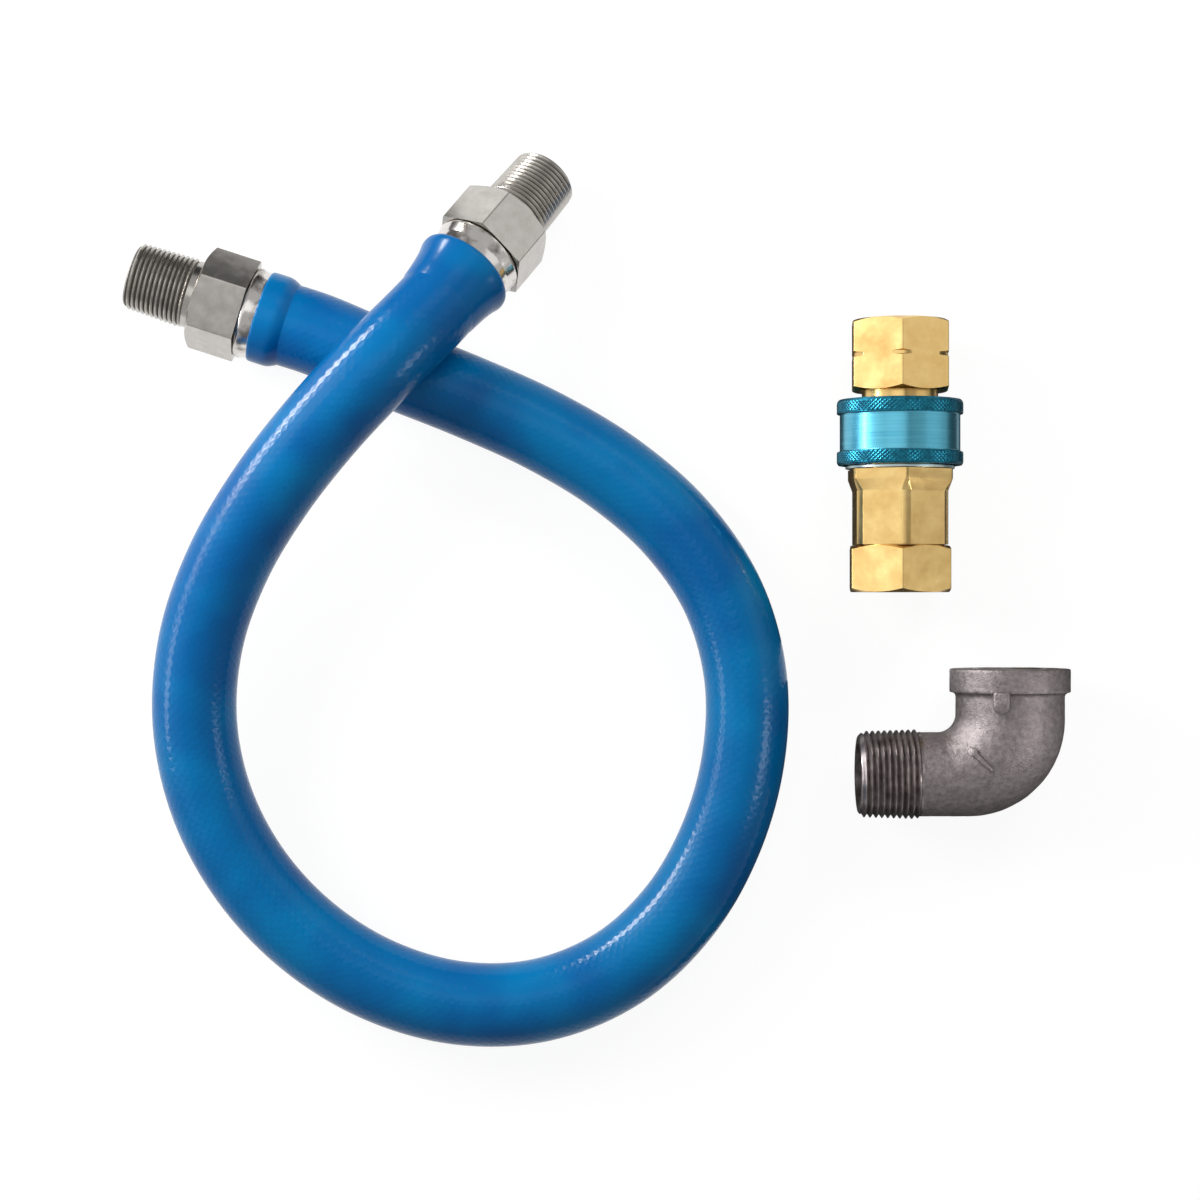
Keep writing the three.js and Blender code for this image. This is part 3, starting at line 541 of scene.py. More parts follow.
def hex_bar(flats, low, high, turn, corner_round=0.0):
    """A hexagonal bar about +Z with a corner at angle turn from +X, its long edges a little rounded."""
    shape = bmesh.new()
    radius = flats / math.sqrt(3)
    place = Matrix.Translation((0, 0, (low + high) / 2)) @ Matrix.Rotation(math.radians(turn + 30), 4, "Z")
    bmesh.ops.create_cone(
        shape, cap_ends=True, segments=6, radius1=radius, radius2=radius, depth=high - low, matrix=place,
    )
    if corner_round:
        uprights = [e for e in shape.edges if abs((e.verts[0].co - e.verts[1].co).z) > (high - low) / 2]
        rounded_off(shape, uprights, corner_round, 3)
    return shape


def joined(shape, tool, how):
    """Unites, cuts or keeps the overlap of two bmeshes, which are used up."""
    pair = []
    for mesh in (shape, tool):
        data = bpy.data.meshes.new("rough")
        mesh.to_mesh(data)
        mesh.free()
        rough = bpy.data.objects.new("rough", data)
        bpy.context.scene.collection.objects.link(rough)
        pair.append(rough)
    cut = pair[0].modifiers.new("cut", "BOOLEAN")
    cut.operation = how
    cut.solver = "EXACT"
    cut.object = pair[1]
    depsgraph = bpy.context.evaluated_depsgraph_get()
    result = bmesh.new()
    result.from_object(pair[0], depsgraph)
    for rough in pair:
        data = rough.data
        bpy.data.objects.remove(rough)
        bpy.data.meshes.remove(data)
    bmesh.ops.remove_doubles(result, verts=result.verts, dist=1e-7)
    bmesh.ops.recalc_face_normals(result, faces=result.faces)
    return result


def threaded_bar(thread, low, high, steps=72, run_out=1.0, mouth=1.0):
    """A taper-threaded bar about +Z, widest at low, with a faded first turn and a chamfered free end."""
    crest = thread["outside"] / 2
    root = crest - thread["depth"]
    pitch = thread["pitch"]
    low_flank = root + 0.4 * thread["depth"]
    ridge = [
        (root, 0), (low_flank, 0.18 * pitch), (crest, 0.44 * pitch),
        (crest, 0.56 * pitch), (low_flank, 0.82 * pitch), (root, pitch),
    ]
    shape = bmesh.new()
    verts = [shape.verts.new((radius, 0, low - 1.5 * pitch + height)) for radius, height in ridge]
    edges = [shape.edges.new(pair) for pair in zip(verts, verts[1:])]
    turns = math.ceil((high - low) / pitch) + 3
    bmesh.ops.spin(
        shape, geom=[*verts, *edges], axis=(0, 0, 1), cent=(0, 0, 0), dvec=(0, 0, pitch / steps),
        angle=2 * math.pi * turns, steps=steps * turns,
    )
    bmesh.ops.remove_doubles(shape, verts=shape.verts, dist=2e-6)
    for height, keeps_above in ((low, True), (high, False)):
        bmesh.ops.bisect_plane(
            shape, geom=[*shape.verts, *shape.edges, *shape.faces], dist=1e-7,
            plane_co=(0, 0, height), plane_no=(0, 0, 1),
            clear_inner=keeps_above, clear_outer=not keeps_above,
        )
        rim = [e for e in shape.edges if e.is_boundary and all(abs(v.co.z - height) < 1e-6 for v in e.verts)]
        bmesh.ops.edgeloop_fill(shape, edges=rim)
    for vert in shape.verts:
        radius = math.hypot(vert.co.x, vert.co.y)
        narrowed = radius - (vert.co.z - low) * thread_taper / 2
        if run_out and radius > root:
            faded = min(1, max(0, (vert.co.z - low) / (run_out * pitch)))
            narrowed = root + (narrowed - root) * faded
        if mouth:
            end_radius = root - (high - low) * thread_taper / 2 - 0.2 * mm
            narrowed = min(narrowed, end_radius + (high - vert.co.z) * mouth)
        vert.co.x *= narrowed / radius
        vert.co.y *= narrowed / radius
    bmesh.ops.recalc_face_normals(shape, faces=shape.faces)
    return shape


def root_faces(shape, thread, low, high):
    """The faces at the bottom of a taper thread about +Z that starts at low and ends at high."""
    found = []
    for face in shape.faces:
        middle = face.calc_center_median()
        root = thread["outside"] / 2 - thread["depth"] - (middle.z - low) * thread_taper / 2
        depth = math.hypot(middle.x, middle.y) - root
        if low < middle.z < high and -0.1 * mm < depth < 0.3 * thread["depth"] and abs(face.normal.z) < 0.95:
            found.append(face)
    return found


def hose_end_place(face, inside, turn):
    """The place of an end fitting: z = 0 on the hose's cut face, +Z out of it, +X at a hex corner."""
    ahead = (Vector(face) - Vector(inside)).normalized()
    sideways = ahead.cross(Vector((0, 0, 1))).normalized()
    upright = sideways.cross(ahead)
    corner_way = upright * math.cos(math.radians(turn)) + sideways * math.sin(math.radians(turn))
    place = Matrix((corner_way, ahead.cross(corner_way), ahead)).transposed().to_4x4()
    place.translation = face
    return place


end_places = {
    "a": hose_end_place(hose_route[0], hose_route[1], corner_turns["a"]),
    "b": hose_end_place(hose_route[-1], hose_route[-2], corner_turns["b"]),
}

# Bar stainless, warm light grey, with fine tool marks and a faint mottle that blur its reflections.
satin_stainless = finish(
    "machined_stainless", {"Metallic": 1.0},
    (0.22, 5.0, 0.6), ((0.3, "#b5b1ab"), (0.7, "#c6c2bd")), (0.18, 0.3),
)
# tool marks are 0.1 mm apart on the real bar, and drawn 0.5 mm apart so that they show
roughen(satin_stainless, (1.0, 3.0, 0.5), 0.25, 0.00005, (2000, 260, 2000))

# Painted shade in the bottom of the threads: a darker, duller steel on the root faces.
painted_root_shade = finish(
    "painted_shade_in_thread_roots", {"Metallic": 0.6, "Roughness": 0.5},
    (0.3, 4.0, 0.5), ((0, "#65615c"), (1, "#98948e")),
)

for end, place in end_places.items():
    blank = turned_bar([
        (0, fitting_start),
        (fitting_tail / 2, fitting_start),
        (fitting_tail / 2, hex_start),
        (fitting_flats / math.sqrt(3) + 1 * mm, hex_start),
        (fitting_flats / math.sqrt(3) + 1 * mm, hex_end - fitting_chamfer - 0.3 * mm),
        (fitting_flats / 2 - 0.4 * mm, hex_end),
        (fitting_neck / 2 + 0.3 * mm, hex_end),
        (fitting_neck / 2, hex_end + 0.4 * mm),
        (fitting_neck / 2, thread_start - 0.4 * mm),
        (fitting_neck / 2 - 0.5 * mm, thread_start),
        (0, thread_start),
    ], 128)
    bar = hex_bar(fitting_flats, 0, fitting_end, 0, 0.45 * mm)
    nipple = joined(blank, bar, "INTERSECT")
    nipple = joined(nipple, threaded_bar(pipe_thread, thread_start - 0.9 * mm, fitting_end), "UNION")
    bore = turned_bar([
        (0, -1 * mm),
        (gas_bore / 2, -1 * mm),
        (gas_bore / 2, fitting_end - 0.8 * mm),
        (gas_bore / 2 + 1.6 * mm, fitting_end + 0.8 * mm),
        (0, fitting_end + 0.8 * mm),
    ], 72)
    nipple = joined(nipple, bore, "DIFFERENCE")
    # the thread roots take the darker steel as painted shade
    for face in root_faces(nipple, pipe_thread, thread_start - 0.9 * mm, fitting_end):
        face.material_index = 1
    new_piece(
        f"hex_nipple_{end}", nipple, [satin_stainless, painted_root_shade], "hose",
        f"end_fitting_{end}", 25, place, flat_faces=True,
    )


# ---------------------------------------------------------------- weld collars
# A short polished stainless sleeve on each end, swaged over the braid and welded to the nipple's tail.
# It is nearly a mirror, and dark and light patches in its colour are a painted reflection of the room.

collar_bore = fitting_tail / 2 + 0.3 * mm
collar_end = 13.7 * mm
collar_profile = [
    (collar_bore, fitting_start),
    (16.2 * mm, fitting_start),
    (16.2 * mm, 8.7 * mm),
    (17.3 * mm, 12.5 * mm),
    (16.8 * mm, collar_end),
    (collar_bore, collar_end),
]

# Buffed stainless tube: nearly a mirror, with clouds about 8 mm across from dark to light grey as a painted
# reflection of the room.
stainless_with_painted_reflection = finish(
    "stainless_with_painted_reflection", {"Metallic": 1.0},
    (0.12, 3.0, 0.5), ((0.38, "#8d8680"), (0.52, "#dedad6")), (0.24, 0.12),
)

for end, place in end_places.items():
    new_piece(
        f"swaged_collar_{end}", turned_bar(collar_profile, 96, 0.3 * mm), [stainless_with_painted_reflection], "hose",
        f"weld_collar_{end}", place=place,
    )


# ---------------------------------------------------------------- hose end cuffs
# The vinyl ends in a thicker cuff over each collar: a round bead at end a, a flared lip at end b.
# Dipping leaves both a little wavy.

cuff_bore = 33.5 / 2 * mm
cuff_end_bore = 15.35 * mm
waves_round = 2.2
waves_along = 60
bead_profile = [
    (cuff_bore, 8.5 * mm),
    (17.0 * mm, 8.5 * mm),
    (17.25 * mm, 8.0 * mm),
    (17.33 * mm, 7.0 * mm),
    (17.33 * mm, 3.0 * mm),
    (17.28 * mm, 1.9 * mm),
    (17.1 * mm, 0.9 * mm),
    (16.85 * mm, 0.1 * mm),
    (16.5 * mm, -0.7 * mm),
    (16.1 * mm, -1.5 * mm),
    (15.72 * mm, -2.2 * mm),
    (cuff_end_bore, -2.8 * mm),
    (cuff_end_bore - 0.2 * mm, -1.2 * mm),
    (cuff_end_bore, -0.1 * mm),
    (cuff_bore - 0.3 * mm, 0.25 * mm),
    (cuff_bore, 0.9 * mm),
]
flare_profile = [
    (cuff_bore, 4.5 * mm),
    (17.3 * mm, 4.7 * mm),
    (18.1 * mm, 4.6 * mm),
    (18.5 * mm, 4.0 * mm),
    (18.55 * mm, 3.2 * mm),
    (18.3 * mm, 1.8 * mm),
    (17.75 * mm, 0.3 * mm),
    (17.2 * mm, -1.8 * mm),
    (16.7 * mm, -4.5 * mm),
    (16.2 * mm, -8.5 * mm),
    (15.8 * mm, -12.5 * mm),
    (cuff_end_bore, -14.5 * mm),
    (cuff_end_bore - 0.2 * mm, -8 * mm),
    (cuff_end_bore, -0.1 * mm),
    (cuff_bore - 0.3 * mm, 0.25 * mm),
    (cuff_bore, 0.9 * mm),
]

for end, place, profile, ripple in (
    ("a", end_places["a"], bead_profile, 0.12 * mm),
    ("b", end_places["b"], flare_profile, 0.5 * mm),
):
    cuff = turned_bar(profile, 96)
    for vert in cuff.verts:
        around = math.atan2(vert.co.y, vert.co.x)
        radius = math.hypot(vert.co.x, vert.co.y)
        spot = Vector((math.cos(around), math.sin(around), 0)) * waves_round
        wave = noise.noise(spot + Vector((7, 3, vert.co.z * waves_along)))
        lip_share = max(0, min(1, (vert.co.z + 2 * mm) / (6 * mm)))
        vert.co.z += ripple * wave * lip_share
        if radius > cuff_bore + 0.2 * mm:
            pulled = radius - 0.35 * ripple * (1 + wave) * lip_share
            vert.co.x *= pulled / radius
            vert.co.y *= pulled / radius
    new_piece(f"vinyl_cuff_{end}", cuff, [vinyl], "hose", f"end_cuff_{end}", 70, place)


# ---------------------------------------------------------------- coupling plug
# The brass plug: a hex body with a wrench groove, a female pipe thread at its free end, and a nose with
# the groove that the lock balls drop into. It is turned from hexagonal bar and left bright.

coupling_turn = Matrix.Rotation(math.radians(-90), 4, "X")
coupling_place = Matrix.Translation((112.7 * mm, 2.8 * mm, 23.4 * mm)) @ coupling_turn
plug_hex_turn = 26.3
plug_hex_flats = 34.9 * mm
plug_hex_start = 74.3 * mm
plug_top = 100.9 * mm
hex_chamfer = 1.5 * mm
hex_edge_round = 0.35 * mm
wrench_groove = 87.6 * mm
groove_width = 1.1 * mm
groove_radius = 18.4 * mm
plug_neck = 14.1 * mm
plug_nose = 13.2 * mm
plug_tip = 39.8 * mm
lock_groove = 63.8 * mm
socket_mouth = 13.6 * mm
socket_bore = 12.3 * mm
socket_depth = 17 * mm
socket_foot = 1.5 * mm

# Free-cutting brass, turned and milled: golden and glossy, with faint tool lines and tarnish clouds.
bright_brass = finish(
    "machined_brass", {"Metallic": 1.0},
    (0.12, 5.0, 0.6), ((0.3, "#deb671"), (0.7, "#f0d08c")), (0.18, 0.32),
)
# tool lines run round the coupling, 0.1 mm apart, drawn about 0.6 mm apart so that they show
roughen(bright_brass, (1.0, 2.0, 0.5), 0.12, 0.00004, (60, 1600, 60))


def threaded_socket(mouth_at, foot_at):
    """The cutter for a female pipe end: countersink, taper thread and bore, from its mouth to its foot."""
    sense = 1 if mouth_at > foot_at else -1
    depth = abs(mouth_at - foot_at)
    thread = dict(pipe_thread, outside=2 * socket_bore + pipe_thread["depth"])
    cutter = threaded_bar(thread, 0.9 * mm, depth, 72, 0, 0)
    countersink = turned_bar([
        (0, -1 * mm),
        (socket_mouth + 1 * mm, -1 * mm),
        (socket_mouth + 0.05 * mm, -0.05 * mm),
        (socket_bore - 0.3 * mm, socket_foot + 0.8 * mm),
        (0, socket_foot + 0.8 * mm),
    ], 72)
    cutter = joined(cutter, countersink, "UNION")
    foot = turned_bar([
        (0, depth - 1 * mm),
        (socket_bore - 0.4 * mm, depth - 1 * mm),
        (socket_bore - 0.4 * mm, depth + 0.1 * mm),
        (gas_bore / 2, depth + socket_foot),
        (gas_bore / 2, depth + socket_foot + 1 * mm),
        (0, depth + socket_foot + 1 * mm),
    ], 72)
    cutter = joined(cutter, foot, "UNION")
    flip = Matrix.Translation((0, 0, mouth_at)) @ Matrix.Diagonal((1, 1, -sense, 1))
    bmesh.ops.transform(cutter, matrix=flip, verts=cutter.verts)
    bmesh.ops.recalc_face_normals(cutter, faces=cutter.faces)
    return cutter


hex_reach = plug_hex_flats / math.sqrt(3) + 1 * mm
plug_blank = turned_bar([
    (0, plug_tip),
    (plug_nose - 1 * mm, plug_tip),
    (plug_nose, plug_tip + 1 * mm),
    (plug_nose, lock_groove - 2.4 * mm),
    (plug_nose - 1.5 * mm, lock_groove - 1.6 * mm),
    (plug_nose - 1.5 * mm, lock_groove + 1.6 * mm),
    (plug_nose, lock_groove + 2.4 * mm),
    (plug_nose, 70.2 * mm),
    (plug_neck, 70.6 * mm),
    (plug_neck, plug_hex_start),
    (plug_hex_flats / 2 - 0.4 * mm, plug_hex_start),
    (hex_reach, plug_hex_start + hex_chamfer + 0.5 * mm),
    (hex_reach, wrench_groove - groove_width - 0.3 * mm),
    (groove_radius, wrench_groove - groove_width / 2),
    (groove_radius, wrench_groove + groove_width / 2),
    (hex_reach, wrench_groove + groove_width + 0.3 * mm),
    (hex_reach, plug_top - hex_chamfer - 0.5 * mm),
    (plug_hex_flats / 2 - 0.4 * mm, plug_top),
    (0, plug_top),
], 128)
plug_hex = hex_bar(plug_hex_flats, 0, 110 * mm, plug_hex_turn, hex_edge_round)
plug = joined(plug_blank, plug_hex, "INTERSECT")
plug_way = round_bar(gas_bore / 2, plug_tip - 1 * mm, plug_top - socket_depth)
plug = joined(plug, plug_way, "DIFFERENCE")
plug = joined(plug, threaded_socket(plug_top, plug_top - socket_depth), "DIFFERENCE")
new_piece(
    "brass_plug", plug, [bright_brass], "coupling_plug", "plug_body", 25, coupling_place,
    flat_faces=True,
)


# ---------------------------------------------------------------- coupling socket
# The brass socket that holds the plug: a hexagonal barrel flaring to a wider shoulder, and inside the
# sleeve a round nose drilled for the lock balls. It is turned from bar.

barrel_turn = 31.0
barrel_flats = 33.8 * mm
barrel_radius = 18.5 * mm
body_flats = 36.5 * mm
body_radius = 20.75 * mm
socket_start = 17.6 * mm
barrel_top = 37.3 * mm
shoulder_start = 41.8 * mm
shoulder_top = 45.4 * mm
nose_radius = 16 * mm
nose_bore = 13.5 * mm
nose_top = 69.6 * mm
ring_top = 67.6 * mm
ring_thickness = 1.2 * mm
ring_groove = 0.8 * mm
seal_height = 43.5 * mm
seal_section = 1.9 * mm
valve_seat = 39.5 * mm
seat_bore = 11 * mm
seat_under = 37.0 * mm
chamber_bore = 13.8 * mm
chamber_start = 23.3 * mm
pilot_bore = 14.9 * mm
ball_count = 6
ball_radius = 2.2 * mm

socket_profile = [
    (pilot_bore, socket_start),
    (barrel_radius, socket_start),
    (barrel_radius, barrel_top),
    (body_radius, shoulder_start),
    (body_radius, shoulder_top),
    (nose_radius, shoulder_top),
    (nose_radius, ring_top - ring_thickness - 0.3 * mm),
    (nose_radius - ring_groove, ring_top - ring_thickness - 0.3 * mm),
    (nose_radius - ring_groove, ring_top + 0.3 * mm),
    (nose_radius, ring_top + 0.3 * mm),
    (nose_radius, nose_top - 0.6 * mm),
    (nose_radius - 0.6 * mm, nose_top),
    (nose_bore + 0.5 * mm, nose_top),
    (nose_bore, nose_top - 0.5 * mm),
    (nose_bore, seal_height + seal_section / 2 + 0.3 * mm),
    (nose_bore + seal_section + 0.3 * mm, seal_height + seal_section / 2 + 0.3 * mm),
    (nose_bore + seal_section + 0.3 * mm, seal_height - seal_section / 2 - 0.3 * mm),
    (nose_bore, seal_height - seal_section / 2 - 0.3 * mm),
    (nose_bore, valve_seat),
    (seat_bore, valve_seat),
    (seat_bore, seat_under),
    (chamber_bore, seat_under),
    (chamber_bore, chamber_start),
    (pilot_bore, chamber_start),
]
socket = turned_bar(socket_profile, 128)
barrel_hex = hex_bar(barrel_flats, socket_start - 1 * mm, nose_top + 1 * mm, barrel_turn)
flare_share = body_flats / barrel_flats
for height in (barrel_top, shoulder_start):
    bmesh.ops.bisect_plane(
        barrel_hex, geom=[*barrel_hex.verts, *barrel_hex.edges, *barrel_hex.faces],
        plane_co=(0, 0, height), plane_no=(0, 0, 1),
    )
upper = [v for v in barrel_hex.verts if v.co.z > barrel_top + 0.1 * mm]
bmesh.ops.scale(barrel_hex, vec=(flare_share, flare_share, 1), verts=upper)
corner_edges = [
    e for e in barrel_hex.edges
    if abs(math.hypot(*e.verts[0].co.xy) * math.cos(math.pi / 6) * 2 - barrel_flats) < 3 * mm
    and abs(e.verts[0].co.z - e.verts[1].co.z) > 1 * mm
]
rounded_off(barrel_hex, corner_edges, 0.8 * mm, 4)
socket = joined(socket, barrel_hex, "INTERSECT")
for i in range(ball_count):
    hole = bmesh.new()
    turn = Matrix.Rotation(math.tau * i / ball_count, 4, "Z")
    into_wall = Matrix.Translation(((nose_radius + nose_bore) / 2, 0, lock_groove))
    place = turn @ into_wall @ Matrix.Rotation(math.pi / 2, 4, "Y")
    bmesh.ops.create_cone(
        hole, cap_ends=True, segments=32, radius1=ball_radius + 0.3 * mm, radius2=ball_radius + 0.3 * mm,
        depth=4.5 * mm, matrix=place,
    )
    socket = joined(socket, hole, "DIFFERENCE")
new_piece(
    "brass_socket", socket, [bright_brass], "coupling_socket", "socket_body", 25, coupling_place,
    flat_faces=True,
)


# ---------------------------------------------------------------- socket adapter
# The brass adapter that closes the socket's foot: a plain hexagon with a female pipe thread, and a
# pilot that seals inside the socket. It is milled from hexagonal bar and screwed home with a sealant.

adapter_turn = 26.5
adapter_top = 17.3 * mm
pilot_top = 20.7 * mm
pilot_radius = 14.6 * mm
adapter_seal = 1.6 * mm
adapter_seal_height = 19.0 * mm

hex_reach = body_flats / math.sqrt(3) + 1 * mm
adapter_blank = turned_bar([
    (0, 0),
    (body_flats / 2 - 0.4 * mm, 0),
    (hex_reach, hex_chamfer + 0.5 * mm),
    (hex_reach, adapter_top - hex_chamfer - 0.5 * mm),
    (body_flats / 2 - 0.4 * mm, adapter_top),
    (pilot_radius, adapter_top),
    (pilot_radius, adapter_seal_height - adapter_seal / 2 - 0.3 * mm),
    (pilot_radius - adapter_seal - 0.3 * mm, adapter_seal_height - adapter_seal / 2 - 0.3 * mm),
    (pilot_radius - adapter_seal - 0.3 * mm, adapter_seal_height + adapter_seal / 2 + 0.3 * mm),
    (pilot_radius, adapter_seal_height + adapter_seal / 2 + 0.3 * mm),
    (pilot_radius, pilot_top),
    (0, pilot_top),
], 128)
adapter_hex = hex_bar(body_flats, -1 * mm, 30 * mm, adapter_turn, hex_edge_round)
adapter = joined(adapter_blank, adapter_hex, "INTERSECT")
adapter_way = round_bar(gas_bore / 2, socket_depth, pilot_top + 1 * mm)
adapter = joined(adapter, adapter_way, "DIFFERENCE")
adapter = joined(adapter, threaded_socket(0, socket_depth), "DIFFERENCE")
new_piece(
    "brass_adapter", adapter, [bright_brass], "coupling_socket", "socket_adapter", 25,
    coupling_place, flat_faces=True,
)


# ---------------------------------------------------------------- lock sleeve
# The sliding sleeve: aluminium, turned, knurled on two bands, and anodised teal. Drawn back, its cone
# lets the lock balls out of the plug's groove. The wide recess between the bands is left plain.

sleeve_foot = 47.0 * mm
sleeve_top = 71.2 * mm
sleeve_radius = 23.4 * mm
recess_radius = 22.25 * mm
lower_band = 4.9 * mm
upper_band = 5.2 * mm
skirt_bore = 21.1 * mm
skirt_top = 53.8 * mm
spring_pocket = 20.2 * mm
land_radius = 16.4 * mm
land_bottom = 59.4 * mm
release_slope = 0.3
knurl_columns = 168
knurl_row = 0.85 * mm
knurl_depth = 0.2 * mm

# Turned aluminium, clear-dyed teal: metal seen through a coloured skin, with fine lathe rings.
anodised_band = finish(
    "teal_anodised_aluminium", {"Metallic": 1.0, "Coat Weight": 0.3, "Coat Roughness": 0.15},
    (1.0, 2.0, 0.5), ((0.3, "#4eaac6"), (0.7, "#6ac0d7")), (0.24, 0.36), (30, 2500, 30),
)
# The same dyed aluminium where the knurling tool has crushed it into small matt diamonds, its much darker
# teal a painted shade of the knurl's grooves.
knurl_with_painted_shade = finish(
    "teal_anodised_knurl", {"Metallic": 0.85, "Roughness": 0.34},
    (0.5, 3.0, 0.5), ((0.35, "#125a70"), (0.7, "#1d7890")),
)


def band_rows(low, high):
    """Heights of knurl rows that fill a band, half a diamond apart."""
    count = max(2, 2 * round((high - low) / knurl_row / 2))
    return [low + (high - low) * i / count for i in range(count + 1)]


lower_rows = band_rows(sleeve_foot + 0.6 * mm, sleeve_foot + lower_band)
upper_rows = band_rows(sleeve_top - upper_band, sleeve_top - 0.8 * mm)
recess_foot = sleeve_foot + lower_band + 0.3 * mm
recess_top = sleeve_top - upper_band - 0.3 * mm
sleeve_profile = [(skirt_bore, sleeve_foot), (sleeve_radius - 0.6 * mm, sleeve_foot)]
sleeve_profile += [(sleeve_radius, height) for height in lower_rows]
sleeve_profile += [
    (recess_radius + 0.15 * mm, recess_foot - 0.05 * mm),
    (recess_radius, recess_foot + 0.2 * mm),
    (recess_radius, recess_top - 0.2 * mm),
    (recess_radius + 0.15 * mm, recess_top + 0.05 * mm),
]
sleeve_profile += [(sleeve_radius, height) for height in upper_rows]
sleeve_profile += [
    (sleeve_radius - 0.8 * mm, sleeve_top),
    (land_radius + (sleeve_top - lock_groove) * release_slope, sleeve_top),
    (land_radius, lock_groove),
    (land_radius, land_bottom),
    (spring_pocket, land_bottom),
    (spring_pocket, skirt_top),
    (skirt_bore, skirt_top),
]
sleeve = turned_bar(sleeve_profile, knurl_columns)
for rows in (lower_rows, upper_rows):
    for number, height in enumerate(rows):
        for vert in sleeve.verts:
            if abs(vert.co.z - height) > 0.01 * mm or math.hypot(*vert.co.xy) < sleeve_radius - 0.01 * mm:
                continue
            column = round(math.degrees(math.atan2(vert.co.y, vert.co.x)) / 360 * knurl_columns)
            edge_row = number in (0, len(rows) - 1)
            if edge_row or (column + number) % 2:
                sunk = (sleeve_radius - knurl_depth) / sleeve_radius
                vert.co.x *= sunk
                vert.co.y *= sunk
bmesh.ops.triangulate(
    sleeve,
    faces=[f for f in sleeve.faces if min(math.hypot(*v.co.xy) for v in f.verts) > sleeve_radius - 0.3 * mm],
)
flips = []
for edge in sleeve.edges:
    faces = edge.link_faces
    if len(faces) != 2 or any(len(f.verts) != 3 for f in faces):
        continue
    ends_out = [math.hypot(*v.co.xy) > sleeve_radius - 0.01 * mm for v in edge.verts]
    rise = abs(edge.verts[0].co.z - edge.verts[1].co.z)
    run = (edge.verts[0].co.xy - edge.verts[1].co.xy).length
    if all(ends_out) and rise > 0.1 * mm and run > 0.1 * mm:
        flips.append(edge)
bmesh.ops.rotate_edges(sleeve, edges=flips)
# the knurled faces take the darker teal, which is painted shade
for face in sleeve.faces:
    middle = face.calc_center_median()
    knurled = math.hypot(*middle.xy) > recess_radius + 0.3 * mm
    face.material_index = 1 if knurled else 0
new_piece(
    "knurled_sleeve", sleeve, [anodised_band, knurl_with_painted_shade], "coupling_sleeve",
    "lock_sleeve", 16, coupling_place,
)


# ---------------------------------------------------------------- seat ring and retaining ring
# A plated steel washer that the sleeve spring pushes on, seen as a pale line under the sleeve, and the
# spring-steel ring that keeps the sleeve on the nose.

seat_ring_profile = [
    (16.3 * mm, 45.7 * mm),
    (20.2 * mm, 45.7 * mm),
    (20.2 * mm, 46.7 * mm),
    (16.3 * mm, 46.7 * mm),
]
retaining_profile = [
    (15.5 * mm, 66.4 * mm),
    (16.88 * mm, 66.4 * mm),
    (16.88 * mm, 67.6 * mm),
    (15.5 * mm, 67.6 * mm),
]

# Bright zinc with a bluish passivation, soft and pale, faintly clouded.
pale_zinc = finish(
    "blue_zinc_plating", {"Metallic": 0.8, "Roughness": 0.35},
    (0.3, 3.0, 0.5), ((0, "#b9cfcf"), (1, "#e2ecea")),
)
# Hard-drawn steel wire and strip, mid grey, with a little oil-dark variation.
spring_steel = finish(
    "drawn_spring_steel", {"Metallic": 1.0, "Roughness": 0.3},
    (0.4, 4.0, 0.5), ((0.35, "#77787a"), (0.65, "#a0a1a3")),
)

for name, profile, material, slot, node in (
    ("plated_seat_ring", seat_ring_profile, pale_zinc, "pale_ring", "spring_seat_ring"),
    ("snap_ring", retaining_profile, spring_steel, "spring_steel", "retaining_ring"),
):
    ring = turned_bar(profile, 96, 0.15 * mm)
    new_piece(name, ring, [material], "coupling_socket", node, place=coupling_place)


# ---------------------------------------------------------------- springs, balls, seals and valve
# The parts that work inside the coupling. The two springs are wound from steel wire with flat end coils.
# The six hardened lock balls, the black nitrile seals and the brass valve with its guide are solids that
# are already as made, and take their finishes.

# Ground and lapped bearing steel: a small clean mirror.
hard_steel = finish(
    "hardened_ball_steel", {"Metallic": 1.0, "Base Color": colour("#c9c7c4")},
    (1.2, 2.0, 0.5), dullness=(0.08, 0.18),
)
# Moulded nitrile rubber: near black, with a dry bloom.
black_nitrile = finish(
    "moulded_nitrile", {"Base Color": colour("#1b1b1d"), "IOR": 1.52},
    (0.8, 4.0, 0.5), dullness=(0.6, 0.8),
)

spring_turns = 3
spring_steps = 36
wire_sides = 12
flat_turns = 0.5


def bridged(stations, sides):
    """A closed bmesh over circles, each given as its centre, its direction and its radius."""
    shape = bmesh.new()
    rings = []
    for centre, ahead, radius in stations:
        across = Vector((0, 0, 1)).cross(ahead).normalized()
        place = Matrix((across, Vector((0, 0, 1)), across.cross(Vector((0, 0, 1))))).transposed().to_4x4()
        place.translation = centre
        rings.append(bmesh.ops.create_circle(shape, segments=sides, radius=radius, matrix=place)["verts"])
    for ring, next_ring in zip(rings, rings[1:]):
        pair = set(ring) | set(next_ring)
        edges = [
            e for e in shape.edges
            if set(e.verts) <= pair and (set(e.verts) <= set(ring) or set(e.verts) <= set(next_ring))
        ]
        bmesh.ops.bridge_loops(shape, edges=edges)
    rims = [e for e in shape.edges if e.is_boundary]
    bmesh.ops.holes_fill(shape, edges=rims, sides=sides)
    bmesh.ops.recalc_face_normals(shape, faces=shape.faces)
    return shape


def wound_wire(mean_radius, wire, turns, low, high):
    """A round wire wound about +Z between two heights, whose first and last half turns lie flat."""
    stations = []
    for i in range(turns * spring_steps + 1):
        turn = i / spring_steps
        climb = min(1, max(0, (turn - flat_turns) / (turns - 2 * flat_turns)))
        angle = math.tau * turn
        height = low + wire / 2 + (high - low - wire) * climb
        centre = Vector((mean_radius * math.cos(angle), mean_radius * math.sin(angle), height))
        stations.append((centre, Vector((-math.sin(angle), math.cos(angle), 0)), wire / 2))
    return bridged(stations, wire_sides)


